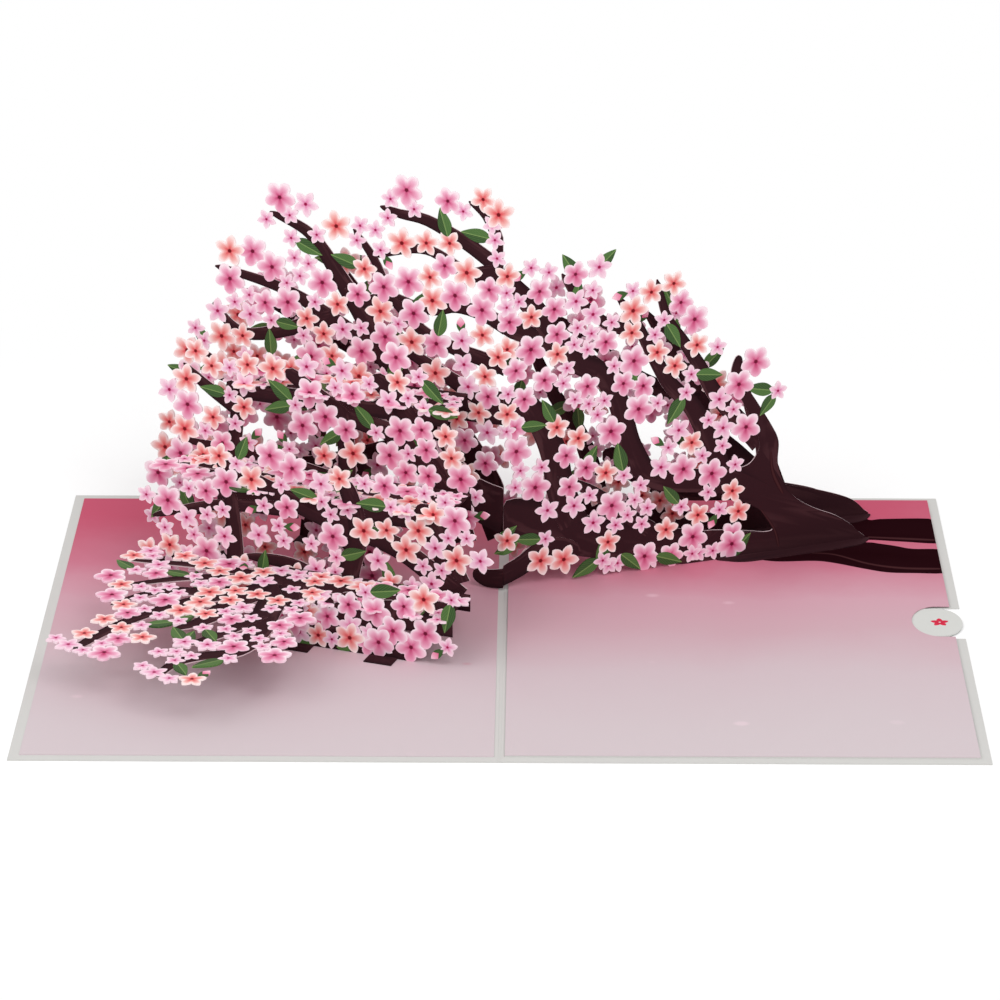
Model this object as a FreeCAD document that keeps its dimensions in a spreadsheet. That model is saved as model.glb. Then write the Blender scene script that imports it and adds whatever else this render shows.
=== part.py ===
import FreeCAD, Part
import math
import os
import random
import Sketcher
from FreeCAD import Vector, Rotation, Placement

# Pop-up card, lying open at 180 degrees, with a blossom tree that stands up from it.
# The spine runs along Y, the pages lie to its left (-X) and right (+X), and +Z is up.
# The origin is the middle of the spine on the underside. All lengths are in millimetres.

SIZES = [
    ("page_width", 127.0, "one page, from spine to fore edge"),
    ("page_depth", 177.8, "page along the spine"),
    ("cover_thickness", 0.35, "folded outer card"),
    ("score_width", 0.8, "creased groove along the spine"),
    ("score_depth", 0.1, "depth of that groove"),
    ("liner_thickness", 0.2, "printed sheet on each page"),
    ("liner_margin", 2.8, "cover showing round a liner"),
    ("spine_gap", 2.8, "gap between the two liners"),
    ("note_thickness", 0.3, "slide-out note card"),
    ("note_clearance", 0.1, "play above the note in its pocket"),
    ("note_side_clearance", 1.0, "play beside the note in its pocket"),
    ("note_width", 96.0, "note card along X"),
    ("strip_width", 8.0, "glued spacer strips round the pocket"),
    ("tab_length", 13.0, "pull tab along X"),
    ("tab_width", 18.4, "pull tab along Y"),
    ("tab_offset", -0.7, "middle of the tab along Y"),
    ("notch_clearance", 1.0, "gap between the tab and its notch"),
    ("stock_thickness", 0.3, "card that the tree is cut from"),
    ("wing_angle", 20.0, "how far each wing leans back from the X axis"),
    ("glue_tab_depth", 5.0, "folded foot glued to the page"),
    ("foot_start", 3.0, "glue tabs stay this far from the fold"),
    ("shortest_foot", 2.0, "shorter contacts get no glue tab"),
    ("main_apex", 19.8, "fold of the main tree along the spine"),
    ("back_apex", 37.0, "fold of the rear tree along the spine"),
    ("riser_1_apex", -36.5, "line of the front riser at the spine"),
    ("riser_2_apex", -16.5, "line of the middle riser at the spine"),
    ("riser_3_apex", 3.5, "line of the rear riser at the spine"),
    ("riser_clearance", 0.4, "gap between a lying spray and the risers beside it"),
    ("riser_1_height", 13.5, "height of the front shelf"),
    ("riser_2_height", 35.0, "height of the middle shelf"),
    ("riser_3_height", 58.0, "height of the rear shelf"),
    ("shelf_start", 16.0, "near end of the shelves along the fold"),
    ("shelf_1_end", 70.0, "far end of the front shelf"),
    ("shelf_2_end", 84.0, "far end of the middle shelf"),
    ("shelf_3_end", 82.0, "far end of the rear shelf"),
    ("shelf_band", 4.5, "solid band under each crease"),
    ("front_stand", 50.0, "front blossoms stand past the crease this far along the riser"),
    ("drawing_unit", 1.0, "one step of the limb drawings below"),
    ("spread", 9.0, "how far blossoms reach out from a limb"),
    ("blossom_radius", 4.7, "largest blossom, middle to petal tip"),
    ("leaf_length", 8.4, "leaf from stalk to tip"),
    ("leaf_width", 3.6, "leaf across its middle"),
]

doc = FreeCAD.newDocument("pop_up_card")
sheet = doc.addObject("Spreadsheet::Sheet", "Sizes")
for row, (alias, value, note) in enumerate(SIZES, start=1):
    sheet.set("A%d" % row, alias)
    sheet.set("B%d" % row, str(value))
    sheet.set("C%d" % row, note)
    sheet.setAlias("B%d" % row, alias)
doc.recompute()


def size(alias):
    return float(getattr(sheet, alias))


LEFT_PAGE_TOP = size("cover_thickness") + size("liner_thickness")
RIGHT_PAGE_TOP = LEFT_PAGE_TOP + size("note_thickness") + size("note_clearance")
STOCK = size("stock_thickness")
LEAN = math.radians(size("wing_angle"))
LARGE = size("blossom_radius")
UNIT = size("drawing_unit")

# How the blossoms are strewn. Sizes and gaps are shares of the largest blossom's radius or of two
# neighbours' radii together. Blossoms below the smallest cut are too small for a blade.
SHARES = (1.0, 1.0, 0.83, 0.83, 0.83, 0.62, 0.62)
SMALLEST_CUT = 0.7
TRIES_PER_UNIT = 5.0
BARE_CORE = 0.6
CLOSEST = 0.74
FURTHEST = 0.94
HOLD = 0.6
LEAF_CHANCE = 0.11


# Cards and liners: plane blanks, drawn as sketches and padded.

def plane(body, role):
    return [f for f in body.Origin.OriginFeatures if f.Role == role][0]


def sketch_on(body, name, height):
    sketch = body.newObject("Sketcher::SketchObject", name)
    sketch.AttachmentSupport = [(plane(body, "XY_Plane"), "")]
    sketch.MapMode = "FlatFace"
    sketch.setExpression("AttachmentOffset.Base.z", height)
    return sketch


def rectangle(sketch, low_x, low_y, wide, deep):
    """Draws a rectangle and ties its corner and sides to expressions."""
    corners = [Vector(0, 0, 0), Vector(10, 0, 0), Vector(10, 10, 0), Vector(0, 10, 0)]
    first = sketch.GeometryCount
    for i in range(4):
        sketch.addGeometry(Part.LineSegment(corners[i], corners[(i + 1) % 4]), False)
    for i in range(4):
        sketch.addConstraint(Sketcher.Constraint("Coincident", first + i, 2, first + (i + 1) % 4, 1))
    for side, kind in ((0, "Horizontal"), (1, "Vertical"), (2, "Horizontal"), (3, "Vertical")):
        sketch.addConstraint(Sketcher.Constraint(kind, first + side))
    ties = (
        ("DistanceX", first, 1, first, 2, 10.0, wide),
        ("DistanceY", first + 1, 1, first + 1, 2, 10.0, deep),
    )
    for kind, a, a_end, b, b_end, start, tie in ties:
        index = sketch.addConstraint(Sketcher.Constraint(kind, a, a_end, b, b_end, start))
        sketch.setExpression("Constraints[%d]" % index, tie)
    for kind, tie in (("DistanceX", low_x), ("DistanceY", low_y)):
        index = sketch.addConstraint(Sketcher.Constraint(kind, -1, 1, first, 1, 5.0))
        sketch.setExpression("Constraints[%d]" % index, tie)


def pad(body, sketch, length):
    feature = body.newObject("PartDesign::Pad", sketch.Name + "_pad")
    feature.Profile = sketch
    feature.setExpression("Length", length)
    return feature


def cut_through(body, sketch, length):
    feature = body.newObject("PartDesign::Pocket", sketch.Name + "_cut")
    feature.Profile = sketch
    feature.Reversed = True
    feature.setExpression("Length", length)
    return feature


def blank(label, low_x, low_y, wide, deep, base, thickness):
    body = doc.addObject("PartDesign::Body", label)
    body.Label = label
    outline = sketch_on(body, label + "_outline", base)
    rectangle(outline, low_x, low_y, wide, deep)
    pad(body, outline, thickness)
    return body


LINER_DEEP = "Sizes.page_depth - 2 * Sizes.liner_margin"
LINER_WIDE = "Sizes.page_width - Sizes.liner_margin - Sizes.spine_gap / 2"
LINER_BACK = "-Sizes.page_depth / 2 + Sizes.liner_margin"
POCKET_BASE = "Sizes.cover_thickness"
POCKET_RISE = "Sizes.note_thickness + Sizes.note_clearance"
TAB_MIDDLE_X = "Sizes.page_width - Sizes.tab_length / 2"
NOTE_EDGE = "Sizes.page_width - Sizes.tab_length - 2 * Sizes.notch_clearance"
NOTCH_LOW_Y = "Sizes.tab_offset - Sizes.tab_width / 2 - Sizes.notch_clearance"
NOTCH_DEEP = "Sizes.tab_width + 2 * Sizes.notch_clearance"
NOTE_DEEP = ("Sizes.page_depth - 2 * Sizes.liner_margin - 2 * Sizes.strip_width"
             " - 2 * Sizes.note_side_clearance")


def oval(sketch, grow):
    """An ellipse round the pull tab's middle, larger than the tab by grow on every side."""
    middle = Vector(size("page_width") - size("tab_length") / 2, size("tab_offset"), 0)
    along_x = Vector(size("tab_length") / 2 + grow, 0, 0)
    along_y = Vector(0, size("tab_width") / 2 + grow, 0)
    short_way, long_way = sorted((along_x, along_y), key=lambda reach: reach.Length)
    sketch.addGeometry(Part.Ellipse(middle + long_way, middle + short_way, middle), False)


def cut_notch(body, base, thickness):
    """A finger notch in the fore edge: half an oval that runs out to the edge."""
    inner = sketch_on(body, body.Label + "_notch_round", base)
    oval(inner, size("notch_clearance"))
    body.Tip = cut_through(body, inner, thickness)
    mouth = sketch_on(body, body.Label + "_notch_mouth", base)
    rectangle(mouth, TAB_MIDDLE_X, NOTCH_LOW_Y, "Sizes.tab_length", NOTCH_DEEP)
    body.Tip = cut_through(body, mouth, thickness)


def make_cover():
    body = blank("cover", "-Sizes.page_width", "-Sizes.page_depth / 2", "2 * Sizes.page_width",
                 "Sizes.page_depth", "0 * Sizes.cover_thickness", "Sizes.cover_thickness")
    cut_notch(body, "0 * Sizes.cover_thickness", "Sizes.cover_thickness")
    score = sketch_on(body, "cover_score", "Sizes.cover_thickness - Sizes.score_depth")
    rectangle(score, "-Sizes.score_width / 2", "-Sizes.page_depth / 2", "Sizes.score_width",
              "Sizes.page_depth")
    body.Tip = cut_through(body, score, "Sizes.score_depth")
    return body


def make_left_liner():
    return blank("left_liner", "-Sizes.page_width + Sizes.liner_margin", LINER_BACK, LINER_WIDE, LINER_DEEP,
                 POCKET_BASE, "Sizes.liner_thickness")


def make_right_liner():
    top = POCKET_BASE + " + " + POCKET_RISE
    body = blank("right_liner", "Sizes.spine_gap / 2", LINER_BACK, LINER_WIDE, LINER_DEEP,
                 top, "Sizes.liner_thickness")
    cut_notch(body, top, "Sizes.liner_thickness")
    return body


def make_pocket_strips():
    """Three spacers hold the right liner off the cover and leave a pocket for the note. The one
    along the spine fills the room up to the note's inner edge."""
    spine_edge = "Sizes.spine_gap / 2"
    far_y = "Sizes.page_depth / 2 - Sizes.liner_margin - Sizes.strip_width"
    inner_y = LINER_BACK + " + Sizes.strip_width"
    to_note = NOTE_EDGE + " - Sizes.note_width - Sizes.note_side_clearance - " + spine_edge
    return [
        blank("pocket_strip_front", spine_edge, LINER_BACK, LINER_WIDE, "Sizes.strip_width",
              POCKET_BASE, POCKET_RISE),
        blank("pocket_strip_back", spine_edge, far_y, LINER_WIDE, "Sizes.strip_width",
              POCKET_BASE, POCKET_RISE),
        blank("pocket_strip_spine", spine_edge, inner_y, to_note,
              LINER_DEEP + " - 2 * Sizes.strip_width", POCKET_BASE, POCKET_RISE),
    ]


def make_note_card():
    """A blank note with an oval pull tab, cut as one piece, that lies in the pocket."""
    body = blank("note_card", NOTE_EDGE + " - Sizes.note_width", "-(" + NOTE_DEEP + ") / 2",
                 "Sizes.note_width", NOTE_DEEP, POCKET_BASE, "Sizes.note_thickness")
    neck = sketch_on(body, "note_neck", POCKET_BASE)
    rectangle(neck, NOTE_EDGE, "Sizes.tab_offset - Sizes.tab_width / 2",
              TAB_MIDDLE_X + " - (" + NOTE_EDGE + ")", "Sizes.tab_width")
    body.Tip = pad(body, neck, "Sizes.note_thickness")
    tab = sketch_on(body, "note_tab", POCKET_BASE)
    oval(tab, 0)
    body.Tip = pad(body, tab, "Sizes.note_thickness")
    return body


# The tree: silhouettes cut from flat card. A limb is a start width, an end width and the points
# of its middle line; a blossom is a middle, a radius and a turn; a leaf is a root and a turn.

def along(points, distance):
    """Point and direction at a distance along a line of points."""
    for (ax, ay), (bx, by) in zip(points, points[1:]):
        length = math.hypot(bx - ax, by - ay)
        if distance <= length:
            share = distance / length
            return (ax + (bx - ax) * share, ay + (by - ay) * share), math.atan2(by - ay, bx - ax)
        distance -= length
    (ax, ay), (bx, by) = points[-2:]
    return (bx, by), math.atan2(by - ay, bx - ax)


def limb_length(points):
    return sum(math.hypot(b[0] - a[0], b[1] - a[1]) for a, b in zip(points, points[1:]))


def dress(limbs, seed, spread):
    """Blossoms and leaves strewn beside the limbs. Each one overlaps a limb or a neighbour."""
    chance = random.Random(seed)
    placed = []
    for start_width, end_width, bare, points in limbs:
        total = limb_length(points)
        for attempt in range(int((total - bare) / UNIT * TRIES_PER_UNIT)):
            distance = chance.uniform(bare, total)
            radius = LARGE * chance.choice(SHARES)
            beyond = spread * chance.random()
            side = chance.choice((-1, 1))
            turn = chance.uniform(0, 2 * math.pi)
            is_leaf = chance.random() < LEAF_CHANCE
            (x, y), heading = along(points, distance)
            half = (start_width + (end_width - start_width) * distance / total) / 2
            out = half * BARE_CORE + beyond
            u = x - side * out * math.sin(heading)
            v = y + side * out * math.cos(heading)
            gaps = [math.hypot(u - a, v - b) / (radius + r) for a, b, r, t, leaf in placed]
            nearest = min(gaps, default=1.0)
            held = out < half + radius * HOLD or nearest < FURTHEST
            if held and nearest > CLOSEST:
                placed.append((u, v, radius, turn, is_leaf))
    return placed


def polygon(points):
    """A flat face in the XZ plane, always wound the same way so that neighbours can merge."""
    area = sum(a[0] * b[1] - b[0] * a[1] for a, b in zip(points, points[1:] + points[:1]))
    if area < 0:
        points = points[::-1]
    corners = [Vector(x, 0, z) for x, z in points]
    return Part.Face(Part.makePolygon(corners + corners[:1]))


def limb_face(start_width, end_width, points):
    left, right = [], []
    for i, (x, y) in enumerate(points):
        before = points[max(i - 1, 0)]
        after = points[min(i + 1, len(points) - 1)]
        heading = math.atan2(after[1] - before[1], after[0] - before[0])
        half = (start_width + (end_width - start_width) * i / (len(points) - 1)) / 2
        left.append((x - half * math.sin(heading), y + half * math.cos(heading)))
        right.append((x + half * math.sin(heading), y - half * math.cos(heading)))
    return polygon(left + right[::-1])


def blossom_face(x, y, radius, turn):
    petals = 5
    ring = [turn + 2 * math.pi * k / petals for k in range(petals)]
    return polygon([(x + radius * math.cos(a), y + radius * math.sin(a)) for a in ring])


def leaf_face(x, y, turn):
    long_half, wide_half = size("leaf_length") / 2, size("leaf_width") / 2
    cos, sin = math.cos(turn), math.sin(turn)
    ring = [(-long_half, 0), (0, wide_half), (long_half, 0), (0, -wide_half)]
    return polygon([(x + a * cos - b * sin, y + a * sin + b * cos) for a, b in ring])


def drawn(points):
    return [(x * UNIT, y * UNIT) for x, y in points]


def silhouette(limbs, seed, spread, frame, extra=()):
    """One flat face: limbs, blossoms and leaves fused, then trimmed to a frame."""
    limbs = [(start * UNIT, end * UNIT, bare * UNIT, drawn(points)) for start, end, bare, points in limbs]
    faces = [limb_face(start, end, points) for start, end, bare, points in limbs]
    faces += list(extra)
    for x, y, radius, turn, is_leaf in dress(limbs, seed, spread):
        if is_leaf:
            faces.append(leaf_face(x, y, turn))
        elif radius > LARGE * SMALLEST_CUT:
            faces.append(blossom_face(x, y, radius, turn))
    fused = faces[0].multiFuse(faces[1:])
    flat = Part.makeShell(fused.common(frame).Faces).removeSplitter()
    return max(flat.Faces, key=lambda face: face.Area)


def stand(face, thickness):
    """Extrudes a silhouette to card, centred on its own plane."""
    solid = face.extrude(Vector(0, thickness, 0))
    solid.translate(Vector(0, -thickness / 2, 0))
    return solid


def block(x0, x1, y0, y1, z0, z1):
    return Part.makeBox(x1 - x0, y1 - y0, z1 - z0, Vector(x0, y0, z0))


def joined(solids):
    shape = solids[0].multiFuse(solids[1:]).removeSplitter()
    if shape.ShapeType != "Solid" and len(shape.Solids) == 1:
        shape = shape.Solids[0]
    return shape


def feet(face):
    """Glue tabs folded forward flat on the page, one wherever the silhouette meets it."""
    depth = size("glue_tab_depth")
    tabs = []
    for edge in face.Edges:
        low, high = sorted((edge.BoundBox.XMin, edge.BoundBox.XMax))
        low = max(low, size("foot_start"))
        if edge.BoundBox.ZMax < TOUCHING and high - low > size("shortest_foot"):
            tabs.append(block(low, high, -STOCK / 2 - depth, STOCK / 2, 0, STOCK))
    return tabs


def swung_out(side, apex, page_top):
    """Where a sheet drawn along X stands on the right (+1) or left (-1) page."""
    return Placement(Vector(0, apex, page_top), Rotation(Vector(0, 0, 1), side * math.degrees(LEAN)))


def facing(shape, side):
    """Turns a sheet drawn along +X over to -X for the left page."""
    return shape if side > 0 else shape.mirror(Vector(0, 0, 0), Vector(1, 0, 0))


# Further than any part of the card, and nearer than any gap in it.
REACH = 400.0
TOUCHING = 0.001


def standing_frame(top):
    """Keeps what is above the page and below the given height."""
    return polygon([(-STOCK, 0), (REACH, 0), (REACH, top), (-STOCK, top)])


def stepped_frame(top, stand):
    """Keeps what is below the given height, and also what stands past it near the fold."""
    return polygon([(-STOCK, 0), (REACH, 0), (REACH, top), (stand, top), (stand, REACH), (-STOCK, REACH)])


def lying_frame(near, far):
    """Keeps, in plan, what lies between two rows of risers on the left page and clear of both."""
    gap = STOCK + size("riser_clearance")
    rise = REACH * math.tan(LEAN)
    low, high = near + gap, far - gap
    return polygon([(0, low), (0, high), (-REACH, high + rise), (-REACH, low + rise)])


def open_frame(near, far, stand):
    """The same, but free to reach out over the page beyond the blossoms that stand in front."""
    gap = STOCK + size("riser_clearance")
    slope = math.tan(LEAN)
    low, high = near + gap, far - gap
    out = stand * math.cos(LEAN) + gap
    return polygon([(0, low), (0, high), (-REACH, high + REACH * slope), (-REACH, -REACH), (-out, -REACH),
                    (-out, low + out * slope)])


# Limbs in drawing units: start width, end width, bare length, then the points of the middle line.
# On the wings and risers the points run out from the fold and up from the page. On the sprays they
# lie in plan. TRUNK and ROOT are outlines of the same kind.
MAIN_RIGHT = [
    (8.5, 2.0, 42.0, [(88, 0), (84.5, 12), (79.6, 27), (77.5, 36), (73.5, 46), (70, 60)]),
    (15.0, 6.0, 40.0, [(85, 5.5), (94, 4), (104, 1)]),
    (9.0, 14.0, 14.0, [(84, 0.5), (72, 3), (56, 5), (41, 9), (29, 11.5), (20, 14.5), (12, 18.5), (-2, 24)]),
    (7.6, 5.0, 6.0, [(76, 22), (62, 24.6), (45, 28), (38, 38), (34, 52), (28, 62), (17, 70.5), (-1, 79)]),
    (9.0, 6.0, 8.0, [(21, 17), (17, 28), (15.2, 38), (12.3, 46), (7.5, 54), (-1, 57)]),
    (7.0, 2.0, 12.0, [(66, 25), (61, 38), (56, 48), (49, 56), (43, 67), (39, 75), (33, 84)]),
    (6.0, 2.0, 5.0, [(77, 34), (71, 41), (63, 51), (58, 60), (53, 68), (48, 76), (45, 87)]),
    (6.5, 5.5, 6.0, [(28, 62), (21, 66), (15, 74), (8, 84), (2, 90.5), (-1, 95)]),
    (4.0, 2.0, 5.0, [(40, 72), (30, 76), (22, 84), (17, 92)]),
    (5.0, 2.5, 4.0, [(44, 12), (34, 20), (26, 26.5), (16, 32)]),
    (6.0, 6.0, 40.0, [(-1, 4), (5, 6.4), (11.5, 10.6), (17, 10.5), (23, 8)]),
]
TRUNK = [
    (69, 61), (71, 60.5), (71.5, 54), (76, 46.5), (80.5, 39), (82.7, 34), (82.6, 28), (83.5, 23.5),
    (84.8, 20.5), (87.3, 16.9), (91.2, 13.7), (95.5, 11.2), (101, 8.6), (105.4, 5.5), (108.4, 2.5),
    (110, 0), (97, 0), (82, 0), (66, 0), (61, 2.5), (60, 8.8), (65.4, 9), (70.6, 7.8), (76.5, 6.8),
    (81, 6.6), (81.6, 8.4), (79.5, 10.8), (77.1, 13.8), (71.3, 17.3), (65.6, 20.2), (60, 21),
    (60, 28.6), (66, 28.2), (71, 27.4), (74.3, 28.5), (76.6, 31.9), (76.7, 35), (74.5, 41.4), (70.5, 49),
    (67.7, 55.5),
]
MAIN_LEFT = [
    (14.0, 2.0, 16.0, [(-1, 24), (7, 26.5), (14, 31), (21, 42), (31, 60), (39, 73), (48, 87), (57, 99),
                       (69, 104)]),
    (5.5, 2.0, 4.0, [(-1, 95), (2, 96.5), (11, 102), (22, 107), (30, 108), (36, 109.5)]),
    (6.0, 2.0, 4.0, [(31, 63), (51, 75), (66, 82), (86, 86)]),
    (5.0, 2.0, 4.0, [(51, 75), (76, 67), (87, 75)]),
    (4.0, 1.5, 2.0, [(70, 51), (84, 53), (90, 54)]),
    (6.0, 2.0, 4.0, [(24, 54), (46, 54), (73, 52), (95, 62)]),
    (8.0, 2.0, 6.0, [(10, 30), (25, 40), (61, 30), (106, 28)]),
    (5.0, 1.5, 9.0, [(-1, 96), (1.5, 104), (5, 110.5), (10, 114)]),
    (5.0, 2.0, 4.0, [(-1, 94.5), (4.5, 94), (10, 92.8), (15.6, 95.8), (21.4, 98.4), (28, 98), (38, 94.5)]),
    (5.0, 2.0, 4.0, [(-1, 79), (6, 82), (14, 83), (22, 81), (34, 85)]),
    (5.0, 2.0, 3.0, [(-1, 67), (7, 69), (15, 71), (24, 75), (33, 84), (38, 94), (44, 102)]),
    (4.0, 3.5, 2.0, [(33, 84), (41, 81), (47, 84)]),
    (6.0, 5.0, 8.0, [(45, 0), (43, 20), (42, 36)]),
    (5.0, 4.0, 8.0, [(85, 0), (84, 18), (83, 30)]),
    (6.0, 3.0, 4.0, [(-1, 57), (7, 57.5), (15, 61.4), (24, 66), (36, 72)]),
    (6.0, 3.0, 4.0, [(-1, 53), (13, 52.5), (20, 55), (28, 59)]),
    (6.0, 5.0, 40.0, [(-1, 4), (4.5, 3.2), (9, 4.5)]),
]
BACK_RIGHT = [
    (15.0, 2.0, 30.0, [(84, 0), (80, 10), (70, 22), (62, 32), (58, 46), (50, 60), (42, 72)]),
    (17.0, 6.0, 40.0, [(80, 7), (94, 5), (105, 1)]),
    (8.0, 13.0, 30.0, [(82, 4), (66, 2.5), (50, 5), (30, 12), (-1, 12)]),
    (9.0, 6.0, 26.0, [(80, 14), (66, 15), (52, 17), (42, 22), (30, 31)]),
    (6.0, 2.0, 4.0, [(58, 42), (40, 52), (25, 66), (10, 76)]),
    (6.0, 3.0, 6.0, [(30, 12), (24, 34), (14, 52), (8, 66)]),
]
ROOT = [
    (80, 15.2), (85.7, 13.2), (93.3, 11.1), (102.1, 8), (107.7, 5.3), (111.2, 1.9), (112, 0), (98, 0),
    (84, 0), (74, 0), (74, 9),
]
BACK_LEFT = [
    (13.0, 2.0, 20.0, [(-1, 10), (10, 32), (24, 52), (40, 72), (52, 88)]),
    (6.0, 2.0, 4.0, [(24, 52), (50, 62), (78, 74)]),
    (6.0, 2.0, 4.0, [(12, 36), (45, 40), (84, 46)]),
    (6.0, 5.0, 8.0, [(60, 0), (58, 20), (56, 42)]),
]
RISER_1 = [
    (4.0, 4.0, 0.0, [(14, 11), (70, 11)]),
    (8.0, 6.0, 3.0, [(34, 0), (35, 8), (31, 17)]),
    (11.0, 7.0, 3.0, [(60, 0), (56, 8), (49, 15)]),
    (9.0, 7.0, 6.0, [(26, 3), (45, 3.5), (66, 3)]),
    (6.0, 4.0, 4.0, [(35, 8), (42, 13), (46, 17)]),
]
RISER_2 = [
    (4.0, 4.0, 0.0, [(16, 33), (84, 33)]),
    (5.0, 1.5, 3.0, [(80, 10), (94, 12), (106, 7)]),
    (8.0, 6.0, 4.0, [(13, 16), (17, 25), (21, 33), (24, 38)]),
    (7.0, 5.0, 4.0, [(12, 12), (30, 24), (52, 30), (84, 42)]),
    (7.0, 5.0, 4.0, [(46, 0), (45, 14), (42, 28), (46, 42)]),
    (5.0, 1.5, 3.0, [(60, 31), (84, 29), (104, 23)]),
    (6.0, 4.0, 4.0, [(80, 0), (79, 16), (80, 34)]),
    (5.0, 3.0, 3.0, [(46, 6), (60, 14), (76, 15)]),
]
RISER_3 = [
    (4.0, 4.0, 0.0, [(16, 56), (82, 56)]),
    (5.0, 1.5, 3.0, [(81, 22), (95, 18), (107, 21)]),
    (9.0, 5.0, 4.0, [(12, 20), (15, 30), (21, 43), (30, 58), (38, 66)]),
    (7.0, 4.0, 4.0, [(14, 30), (30, 48), (46, 53), (64, 64)]),
    (6.0, 5.0, 5.0, [(50, 0), (48, 20), (46, 40), (48, 56)]),
    (6.0, 1.5, 4.0, [(46, 32), (70, 37), (97, 39)]),
    (5.0, 4.0, 4.0, [(82, 0), (81, 20), (80, 40), (78, 56)]),
    (5.0, 2.0, 4.0, [(78, 50), (88, 56), (95, 62)]),
]
LOW_SPRAY = [
    (8.0, 3.0, 3.0, [(-18, -20), (-40, -12), (-58, -7), (-72, -14), (-84, -19), (-97, -29), (-107, -41),
                     (-113, -51)]),
    (12.0, 3.0, 4.0, [(-58, -6), (-67, -13), (-74, -22), (-80, -32), (-88, -38)]),
    (9.0, 2.5, 3.0, [(-60, -8), (-63, -24), (-65, -40), (-70, -52), (-79, -55), (-86, -60), (-89.5, -68)]),
    (6.0, 2.0, 3.0, [(-65, -28), (-75, -41), (-84, -48)]),
    (6.0, 1.5, 3.0, [(-74, -16), (-88, -12), (-98, -15), (-106, -22)]),
    (6.0, 1.5, 3.0, [(-60, -5), (-84, -3), (-107, -10)]),
    (6.0, 1.5, 3.0, [(-60, -5), (-80, 4), (-104, 9)]),
    (7.0, 2.0, 3.0, [(-58, -8), (-56, -22), (-54, -32)]),
]
MIDDLE_SPRAY = [
    (7.0, 2.0, 2.0, [(-20, 1), (-46, 11), (-74, 22), (-93, 30)]),
    (5.0, 1.5, 2.0, [(-58, 17), (-74, 19), (-88, 24)]),
]
UPPER_SPRAY = [
    (7.0, 2.0, 2.0, [(-18, 16), (-40, 26), (-60, 34), (-74, 38)]),
    (5.0, 1.5, 2.0, [(-46, 26), (-58, 28), (-68, 32)]),
]


def wing(limbs, seed, outlines, side, apex, page_top):
    """One half of a V sheet, from the fold outwards, with its glue tabs."""
    face = silhouette(limbs, seed, size("spread"), standing_frame(REACH),
                      [polygon(drawn(outline)) for outline in outlines])
    solid = joined([stand(face, STOCK)] + feet(face))
    solid = facing(solid, side)
    solid.Placement = swung_out(side, apex, page_top)
    half = block(min(0, side * REACH), max(0, side * REACH), -REACH, REACH, 0, REACH)
    return solid.common(half)


def v_sheet(left, right, right_outline, seeds, apex):
    """A tree cut as one sheet and folded at the spine; each wing stands on its own page."""
    wings = [
        wing(left, seeds[0], [], -1, apex, LEFT_PAGE_TOP),
        wing(right, seeds[1], [right_outline], 1, apex, RIGHT_PAGE_TOP),
    ]
    return joined(wings), Placement()


def spacing(near, far):
    return (size(far) - size(near)) * math.cos(LEAN)


def step_sheet(limbs, seed, height, end, apex, next_apex, frame):
    """A riser, a shelf that runs back from its crease, and a tab glued to the sheet behind."""
    start = size("shelf_start")
    crease = size(height)
    depth = spacing(apex, next_apex)
    band = polygon([(start, crease - size("shelf_band")), (end, crease - size("shelf_band")), (end, crease),
                    (start, crease)])
    face = silhouette(limbs, seed, size("spread"), frame, [band])
    back = depth - STOCK / 2
    shelf = block(start, end, -STOCK / 2, back, crease - STOCK, crease)
    tab = block(start, end, back - STOCK, back, crease - size("glue_tab_depth"), crease)
    solid = joined([stand(face, STOCK), shelf, tab] + feet(face))
    return facing(solid, -1), swung_out(-1, size(apex), LEFT_PAGE_TOP)


def spray(limbs, seed, height, frame):
    """A flat cut-out lying on a shelf between two risers, drawn in plan."""
    face = silhouette(limbs, seed, size("spread"), frame)
    lift = Vector(0, 0, LEFT_PAGE_TOP + size(height))
    return face.extrude(Vector(0, -STOCK, 0)), Placement(lift, Rotation(Vector(1, 0, 0), -90))


def cut_piece(label, shape, placement):
    piece = doc.addObject("Part::Feature", label)
    piece.Label = label
    piece.Shape = shape
    piece.Placement = placement
    return piece


# Each sheet strews its blossoms from a seed of its own.
MAIN_SEEDS = (11, 12)
BACK_SEEDS = (13, 14)
STEP_SEEDS = (21, 22, 23)
SPRAY_SEEDS = (31, 32, 33)


def make_tree():
    main = v_sheet(MAIN_LEFT, MAIN_RIGHT, TRUNK, MAIN_SEEDS, size("main_apex"))
    back = v_sheet(BACK_LEFT, BACK_RIGHT, ROOT, BACK_SEEDS, size("back_apex"))
    stand = size("front_stand")
    riser_lines = [size("riser_1_apex"), size("riser_2_apex"), size("riser_3_apex"), size("main_apex")]
    steps = [
        step_sheet(RISER_1, STEP_SEEDS[0], "riser_1_height", size("shelf_1_end"),
                   "riser_1_apex", "riser_2_apex", stepped_frame(size("riser_1_height"), stand)),
        step_sheet(RISER_2, STEP_SEEDS[1], "riser_2_height", size("shelf_2_end"),
                   "riser_2_apex", "riser_3_apex", standing_frame(REACH)),
        step_sheet(RISER_3, STEP_SEEDS[2], "riser_3_height", size("shelf_3_end"),
                   "riser_3_apex", "main_apex", standing_frame(REACH)),
    ]
    sprays = [
        spray(LOW_SPRAY, SPRAY_SEEDS[0], "riser_1_height", open_frame(*riser_lines[:2], stand)),
        spray(MIDDLE_SPRAY, SPRAY_SEEDS[1], "riser_2_height", lying_frame(*riser_lines[1:3])),
        spray(UPPER_SPRAY, SPRAY_SEEDS[2], "riser_3_height", lying_frame(*riser_lines[2:])),
    ]
    labels = ["main_tree", "back_tree", "front_step", "middle_step", "rear_step",
              "low_spray", "middle_spray", "upper_spray"]
    return [cut_piece(label, *sheet) for label, sheet in zip(labels, [main, back] + steps + sprays)]


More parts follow.
